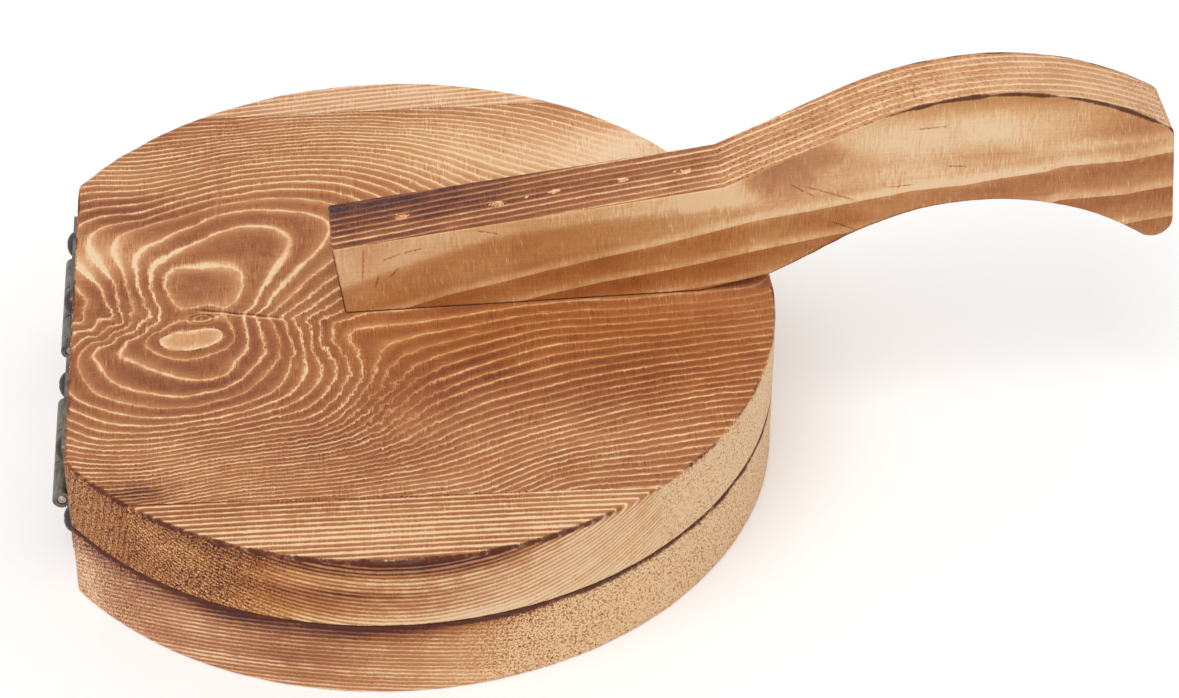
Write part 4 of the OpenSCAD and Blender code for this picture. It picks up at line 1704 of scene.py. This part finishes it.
    def torn(self, p: Array, n: Array) -> Array:
        """Bare torn fibres where each brad went in."""
        u, v, w = self.own(p)
        strength = np.zeros(len(p))
        for at_u, at_v, size in self.brads:
            strength = np.maximum(strength, blob(u, v, at_u, at_v, 1.5 * size, 0.85 * size))
        near_top = smooth(4.0, 1.0, np.abs(w - self.top_at(u)))
        return strength * near_top * (u < self.nailed) * (1 - self.side(n))

    def clear(self, p: Array, n: Array) -> Array:
        """Lines plain on the top, fading over the crest; on the sides from the stripe down."""
        u, v, w = self.own(p)
        flat = self.side(n)
        over = w - self.stripe(u)
        bands = smooth(3.2 + 2.0 * smooth(55, 90, u), 1.6, over)
        slate = 0.95 * blob(u, v, 0, 5.6, 32, 3.8)
        return (1 - slate - 0.40 * smooth(70, 95, u)) * (1 - flat) + bands * flat

    def wild(self, _: Array, n: Array) -> Array:
        """Lines waver on the top, hardly on the sides."""
        return 0.3 - 0.22 * self.side(n)

    def bold(self, _: Array, n: Array) -> Array:
        """Broad bands on the sides alone."""
        return self.side(n)

    def hatch(self, p: Array, n: Array) -> Array:
        """Ticks all over the top, strongest up the ramp."""
        u = self.own(p)[0]
        ramp = smooth(68, 76, u) * smooth(150, 105, u)
        return (0.05 + 0.95 * ramp) * (1 - self.side(n)) * smooth(-0.2, 0.3, n[:, 2])

    def edge(self, p: Array) -> Array:
        """The front and the grip's upper edges are charred, the foot's top barely; the seat's edge
        is char and painted shade where it sits on the lid.

        The distance is taken both ways round an edge: in from the side, and down from the top.
        """
        u, v, w = self.own(p)
        inward = np.maximum(self.width / 2 - np.abs(v), 0)
        top = self.runs()[2]
        down = np.maximum(np.interp(u, top[:, 0], top[:, 1]) - w, 0)
        back = np.maximum(u + w * slope(self.front_lean), 0)
        width = 0.14 + 0.46 * smooth(94, 112, u)
        width = width * (1 + 0.55 * waver(p, 5.0, 87))
        near_top = (inward + down) / width
        front = (inward + back) / 0.42
        # the dark line along the seat is char and painted shade where the lever sits on the lid
        seat = np.where(u < self.seat + 2, (inward + np.maximum(w, 0)) / 0.42, 3.0)
        return np.minimum(np.minimum(near_top, front), seat)

    def scratches(self) -> tuple[tuple[float, float, float, float], ...]:
        """Scratches on the side, as places along and up from the origin, slant and half length."""
        c, s = heading(self.turn)
        x, y, z = self.foot
        start = x * float(c) + y * float(s)
        return tuple((start + u, z + w, lean, half) for u, w, lean, half in self.marks)

    def craters(self, shell: Shell) -> None:
        """Sinks a ragged dip where each brad went in and lifts torn fibres beside it.

        Height change = lift * rim - depth * dip, for a dip exp(-d^2) that noise makes ragged.

        Args:
            shell: the surface in the lever's own (u, w, -v) frame; it is changed.
        """
        u, w, v = shell.points[:, 0], shell.points[:, 1], -shell.points[:, 2]
        on_top = smooth(1.2, 0.2, np.abs(w - self.top_at(u))) * (u < self.nailed)
        ragged = waver(shell.points, 1.3, 91)
        for at_u, at_v, size in self.brads:
            dip = blob(u, v, at_u, at_v, 1.15 * size, 0.8 * size)
            lip = blob(u, v, at_u + 1.2 * size, at_v - 0.5 * size, 0.9 * size, 0.7 * size)
            change = 0.18 * lip * (1 + 0.8 * ragged) - 0.36 * dip * (1 + 0.5 * ragged)
            shell.points[:, 1] += change * on_top * size

    def build(self, finish: Material) -> None:
        """Makes the lever and dresses it."""
        runs = self.runs()
        half = self.width / 2
        slab = Slab(*runs, -half, half, rim_rows=30)
        loop = slab.loop()
        slab.arris_low = worn(loop, 0.42, 0.3, 410, 12.0)
        slab.arris_high = worn(loop, 0.42, 0.3, 420, 12.0)
        seated = (loop[:, 1] < 1e-6) & (loop[:, 0] < self.seat + 0.5)
        slab.arris_low = np.where(seated, 0.08, slab.arris_low)
        slab.arris_high = np.where(seated, 0.08, slab.arris_high)
        shell = slab.shell()
        self.craters(shell)
        axes, foot = self.frame()
        shell.points = shell.points @ axes + foot
        mesh = shell.mesh("lever_arm")
        grain = Grain(
            self.rings, np.array(self.fibre), self.burn, self.warm, self.clear, steady(0.14),
            self.wild, self.edge, bold=self.bold, hatch=self.hatch, torn=self.torn,
        )
        grain.lay(mesh, shell)
        Piece("lever_arm", Body.LID, "lever_pine", ("lever",)).place(mesh, finish)


# ---- steel


@dataclass(frozen=True)
class RolledSteel:
    """Worn sheet steel: cloudy grey, dull in patches, with drawn scratches and spots of tarnish."""

    name: str
    clean: Colour = paint(132, 125, 118)
    dull: Colour = paint(74, 69, 64)
    stain: Colour = paint(54, 45, 38)
    metallic: float = 0.85
    roughness: float = 0.42
    scratch: Triple = (3.0, 0.22, 3.0)
    stained: float = 0.25
    rough_relief: float = 0.35

    def material(self) -> Material:
        """Builds the finish's nodes.

        Returns:
            The material.
        """
        g = Graph(self.name)
        cloud = g.noise(g.place(), 3.4, 4.0, 0.62)
        grit = g.noise(g.place(shift=(4, 4, 4)), 0.5, 2.0, 0.6)
        line = g.noise(g.place(self.scratch, shift=(2, 7, 5)), 1.0, 2.0, 0.6)
        spot = g.noise(g.place(shift=(9, 1, 6)), 1.5, 3.0, 0.7)
        colour = g.mix((cloud * 0.7 + line * 0.4).step(-0.9, 0.7), self.dull, self.clean)
        colour = g.mix((spot + grit * 0.4).step(0.2, 0.8) * self.stained, colour, self.stain)
        g.link(colour, g.shader.inputs["Base Color"])
        g.shader.inputs["Metallic"].default_value = self.metallic
        g.link(self.roughness + cloud * 0.08 + grit * 0.05, g.shader.inputs["Roughness"])
        g.relief(line * 0.3 + grit * 0.3 + cloud * 0.4 + 0.5, 0.04, self.rough_relief)
        return g.material


# ---- studio


@dataclass
class Studio:
    """White floor, even light and the camera."""

    azimuth: float = -5.0
    elevation: float = 38.961
    roll: float = 0.402
    camera_at: Triple = (-6.774, -523.788, 442.997)
    lens: float = 104.47
    sensor: float = 36.0
    sky: float = 0.58
    key: float = 1.25
    key_from: Triple = (-0.45, -0.55, 1.25)
    key_spread: float = 50.0
    floor_half: float = 1500.0
    floor_grid: int = 24
    floor_low: float = -0.02
    floor_glow: float = 0.22

    def camera(self) -> None:
        """Sets up the camera: backward direction from azimuth and elevation, then the roll."""
        a, e, r = (math.radians(v) for v in (self.azimuth, self.elevation, self.roll))
        back = Vector((math.sin(a) * math.cos(e), -math.cos(a) * math.cos(e), math.sin(e)))
        right = (-back).cross(Vector((0, 0, 1))).normalized()
        up = right.cross(-back)
        across = right * math.cos(r) + up * math.sin(r)
        above = up * math.cos(r) - right * math.sin(r)
        data = bpy.data.cameras.new("camera")
        data.lens, data.sensor_width = self.lens, self.sensor
        data.clip_start, data.clip_end = 0.01, 20.0
        made = put("camera", data)
        turned = Matrix((across, above, back)).transposed().to_4x4()
        made.matrix_world = Matrix.Translation(Vector(self.camera_at) * MM) @ turned
        bpy.context.scene.camera = made

    def light(self) -> None:
        """White surroundings and one broad lamp, which together light a surface at about 1."""
        world = bpy.data.worlds.new("surroundings")
        bpy.context.scene.world = world
        world.use_nodes = True
        tree = world.node_tree
        path = tree.nodes.new("ShaderNodeLightPath")
        seen = tree.nodes.new("ShaderNodeMath")
        seen.operation = "MAXIMUM"
        tree.links.new(path.outputs["Is Camera Ray"], seen.inputs[0])
        shiny = tree.nodes.new("ShaderNodeMath")
        shiny.operation = "MAXIMUM"
        tree.links.new(path.outputs["Is Glossy Ray"], shiny.inputs[0])
        tree.links.new(path.outputs["Is Transmission Ray"], shiny.inputs[1])
        tree.links.new(shiny.outputs[0], seen.inputs[1])
        level = tree.nodes.new("ShaderNodeMapRange")
        level.inputs["To Min"].default_value = self.sky
        level.inputs["To Max"].default_value = 1.0
        tree.links.new(seen.outputs[0], level.inputs["Value"])
        back = tree.nodes["Background"]
        back.inputs["Color"].default_value = (1, 1, 1, 1)
        tree.links.new(level.outputs["Result"], back.inputs["Strength"])
        lamp = bpy.data.lights.new("key", "SUN")
        lamp.energy = self.key
        lamp.angle = math.radians(self.key_spread)
        lamp.color = (1.0, 0.995, 0.985)
        towards = Vector(self.key_from).to_track_quat("Z", "Y")
        put("key", lamp).rotation_euler = towards.to_euler()

    def floor(self) -> None:
        """A white floor under the press, which keeps its shadow."""
        span = np.linspace(-self.floor_half, self.floor_half, self.floor_grid + 1)
        x, y = np.meshgrid(span, span, indexing="ij")
        index = np.arange(x.size).reshape(x.shape)
        points = np.c_[x.ravel(), y.ravel(), np.full(x.size, self.floor_low)]
        mesh = Shell(points, grid_quads(index)).mesh("floor")
        g = Graph("white_floor")
        g.link((0.90, 0.90, 0.90), g.shader.inputs["Base Color"])
        g.shader.inputs["Roughness"].default_value = 0.9
        g.shader.inputs["Specular IOR Level"].default_value = 0.0
        path = g.node("ShaderNodeLightPath")
        seen: Shade | float = 0.0
        for kind in ("Is Camera Ray", "Is Glossy Ray", "Is Transmission Ray"):
            seen = g.math("MAXIMUM", Shade(g, path.outputs[kind]), seen)
        g.link((1.0, 1.0, 1.0), g.shader.inputs["Emission Color"])
        g.link(seen * self.floor_glow, g.shader.inputs["Emission Strength"])
        mesh.materials.append(g.material)
        made = put("floor", mesh)

    def build(self) -> None:
        """Makes the camera, the light and the floor."""
        self.camera()
        self.light()
        self.floor()
        bpy.context.scene.view_settings.view_transform = "Standard"


class Leaf(Enum):
    """A hinge's two leaves, by the way that each goes from the pin."""

    LID = 1
    BASE = -1


@dataclass
class Screw:
    """A dark pan-head screw with a cross recess, driven along X."""

    name: str
    stands_for: str
    body: Body
    seat: Triple
    turn: float
    head_r: float = 2.6
    head_h: float = 1.65
    lip: float = 0.22
    recess_reach: float = 1.35
    recess_half: float = 0.26
    recess_depth: float = 0.75
    shank_r: float = 1.3
    shank: float = 13.0
    point: float = 3.0
    tip_r: float = 0.05
    around: int = 96
    shoulder_power: float = 2.2
    crown_power: float = 0.7

    def crown(self, r: Array) -> Array:
        """Height of the head at a distance from its middle: h * (1 - (r / R)^2.2)^0.7."""
        inside = np.clip(1 - (r / self.head_r) ** self.shoulder_power, 0, 1)
        return self.lip + (self.head_h - self.lip) * inside**self.crown_power

    def recess(self, y: Array, z: Array) -> Array:
        """Depth of the cross: depth * (1 - l / reach) where the nearer arm's breadth is under half.

        Args:
            y, z: places across the head, in the recess's own turn.
        Returns:
            The depth at each.
        """
        long, wide = np.maximum(np.abs(y), np.abs(z)), np.minimum(np.abs(y), np.abs(z))
        arm = smooth(self.recess_half, 0.45 * self.recess_half, wide)
        return self.recess_depth * arm * smooth(self.recess_reach, 0.25 * self.recess_reach, long)

    @staticmethod
    def fan(ring: Array, hub: int) -> Array:
        """Quads that close a ring of points round a hub, each over two of the ring's steps."""
        even, odd = ring[::2], ring[1::2]
        return np.stack([np.full(len(even), hub), even, odd, np.roll(even, -1)], -1)

    def build(self, finish: Material) -> None:
        """Makes the screw as rings round its axis, closed by fans of quads at both ends."""
        radii = np.r_[np.linspace(0.06, 0.97, 30), 0.985, 0.995, 1.0] * self.head_r
        rings = [(r, -float(self.crown(np.array(r)))) for r in radii]
        rings += [(self.head_r, -0.6 * self.lip), (self.head_r * 0.985, 0.0), (self.shank_r, 0.0)]
        rings += [(self.shank_r, x) for x in np.linspace(0.5, self.shank - self.point, 8)]
        for part in (0.5, 1.0):
            breadth = self.shank_r * (1 - part) + self.tip_r * part
            rings.append((breadth, self.shank - self.point * (1 - part)))
        turn = np.linspace(0, 2 * math.pi, self.around, endpoint=False)
        r, x = np.array(rings).T
        y, z = np.outer(r, np.cos(turn)), np.outer(r, np.sin(turn))
        depth = np.where((x < -self.lip)[:, None], self.recess(y, z), 0)
        places = np.stack([x[:, None] + depth, y, z], -1)
        tip_in = np.array([[-self.head_h + self.recess_depth, 0, 0]])
        tip_out = np.array([[self.shank, 0, 0]])
        points = np.vstack([places.reshape(-1, 3), tip_in, tip_out])
        c, s = heading(self.turn)
        points = points @ np.array([[1, 0, 0], [0, c, s], [0, -s, c]]) + self.seat
        index = np.arange(places.shape[0] * self.around).reshape(-1, self.around)
        belt = grid_quads(np.c_[index, index[:, :1]])
        head, tip = self.fan(index[0], index.size), self.fan(index[-1], index.size + 1)
        quads = np.vstack([belt, head, tip[:, ::-1]])
        mesh = Shell(points, quads).mesh(self.name)
        Piece(self.name, self.body, "screw_steel", (self.stands_for,)).place(mesh, finish)


@dataclass
class Hardware:
    """The hinges, screws and brads: the model's own meshes with steel finishes, and new screws."""

    nodes: dict[str, bpy.types.Object]
    pin_x: float = -63.25
    pin_z: float = 16.5
    middle_y: float = 0.4
    hinge_at: float = 22.25
    screw_rise: float = 8.7
    screw_half_pitch: float = 9.35
    seat_off: float = 1.0
    # degrees that each screw stopped at
    turns: tuple[float, ...] = (38, 51, 47, 33, 57, 42, 36, 49)

    def screws(self, finish: Material) -> None:
        """Drives two screws through each leaf, every one stopped at its own turn."""
        turns = iter(self.turns)
        for side, at in (("near", -1), ("far", 1)):
            for leaf, body in ((Leaf.BASE, Body.BASE), (Leaf.LID, Body.LID)):
                for end, out in (("outer", 1), ("inner", -1)):
                    y = self.middle_y + at * self.hinge_at + at * out * self.screw_half_pitch
                    z = self.pin_z + leaf.value * self.screw_rise
                    name = f"{side}_{leaf.name.lower()}_{end}_screw"
                    node = f"{side}_{leaf.name.lower()}_screw_{end}"
                    seat = (self.pin_x + self.seat_off, y, z)
                    Screw(name, node, body, seat, next(turns)).build(finish)

    def build(self) -> None:
        """Gives each steel node the finish whose word is in its name."""
        finishes = {
            "leaf": RolledSteel("hinge_steel").material(),
            "pin": RolledSteel(
                "pin_steel", paint(190, 184, 176), paint(140, 133, 126), stained=0.3,
                roughness=0.34,
            ).material(),
            "screw": RolledSteel(
                "blackened_screw", paint(62, 57, 54), paint(42, 38, 36), paint(34, 29, 27),
                metallic=0.45, scratch=(1.0, 1.0, 1.0), stained=0.2, rough_relief=0.15,
            ).material(),
            "brads": RolledSteel(
                "brad_steel", paint(196, 190, 180), paint(150, 142, 132),
            ).material(),
        }
        self.screws(finishes["screw"])
        for name, node in self.nodes.items():
            finish = next((made for word, made in finishes.items() if word in name), None)
            if finish:
                node.data.materials.clear()
                node.data.materials.append(finish)
                LOG.info("%s: %s", name, finish.name)


def main() -> None:
    """Builds the press, its light and its camera, and reports each piece."""
    logging.basicConfig(level=logging.INFO, format="%(message)s")
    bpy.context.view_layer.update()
    Studio().build()
    board_pine = TorchedPine("torched_board", knot=True, fleck=0.26).material()
    lever_pine = TorchedPine(
        "torched_lever", turn=(0, 0, -1.5), saw_stretch=(3.6, 0.30, 0.30), wander=(0.25, 0.12),
        comb=0.08, fibre_stretch=(0.10, 2.2, 2.2), saw=0.07, stroke=0.36,
        stroke_stretch=(1.9, 0.26, 0.12), stroke_turn=(0, 12, -1.5),
        tick_stretch=(0.75, 2.1, 1.2), tick_turn=(0, 0, 24), ragged=0.4,
        scratches=Lever().scratches(),
    ).material()
    Boards().build(board_pine)
    Lever().build(lever_pine)
    Hardware(frame["nodes"]).build()


if __name__ == "__main__":
    main()
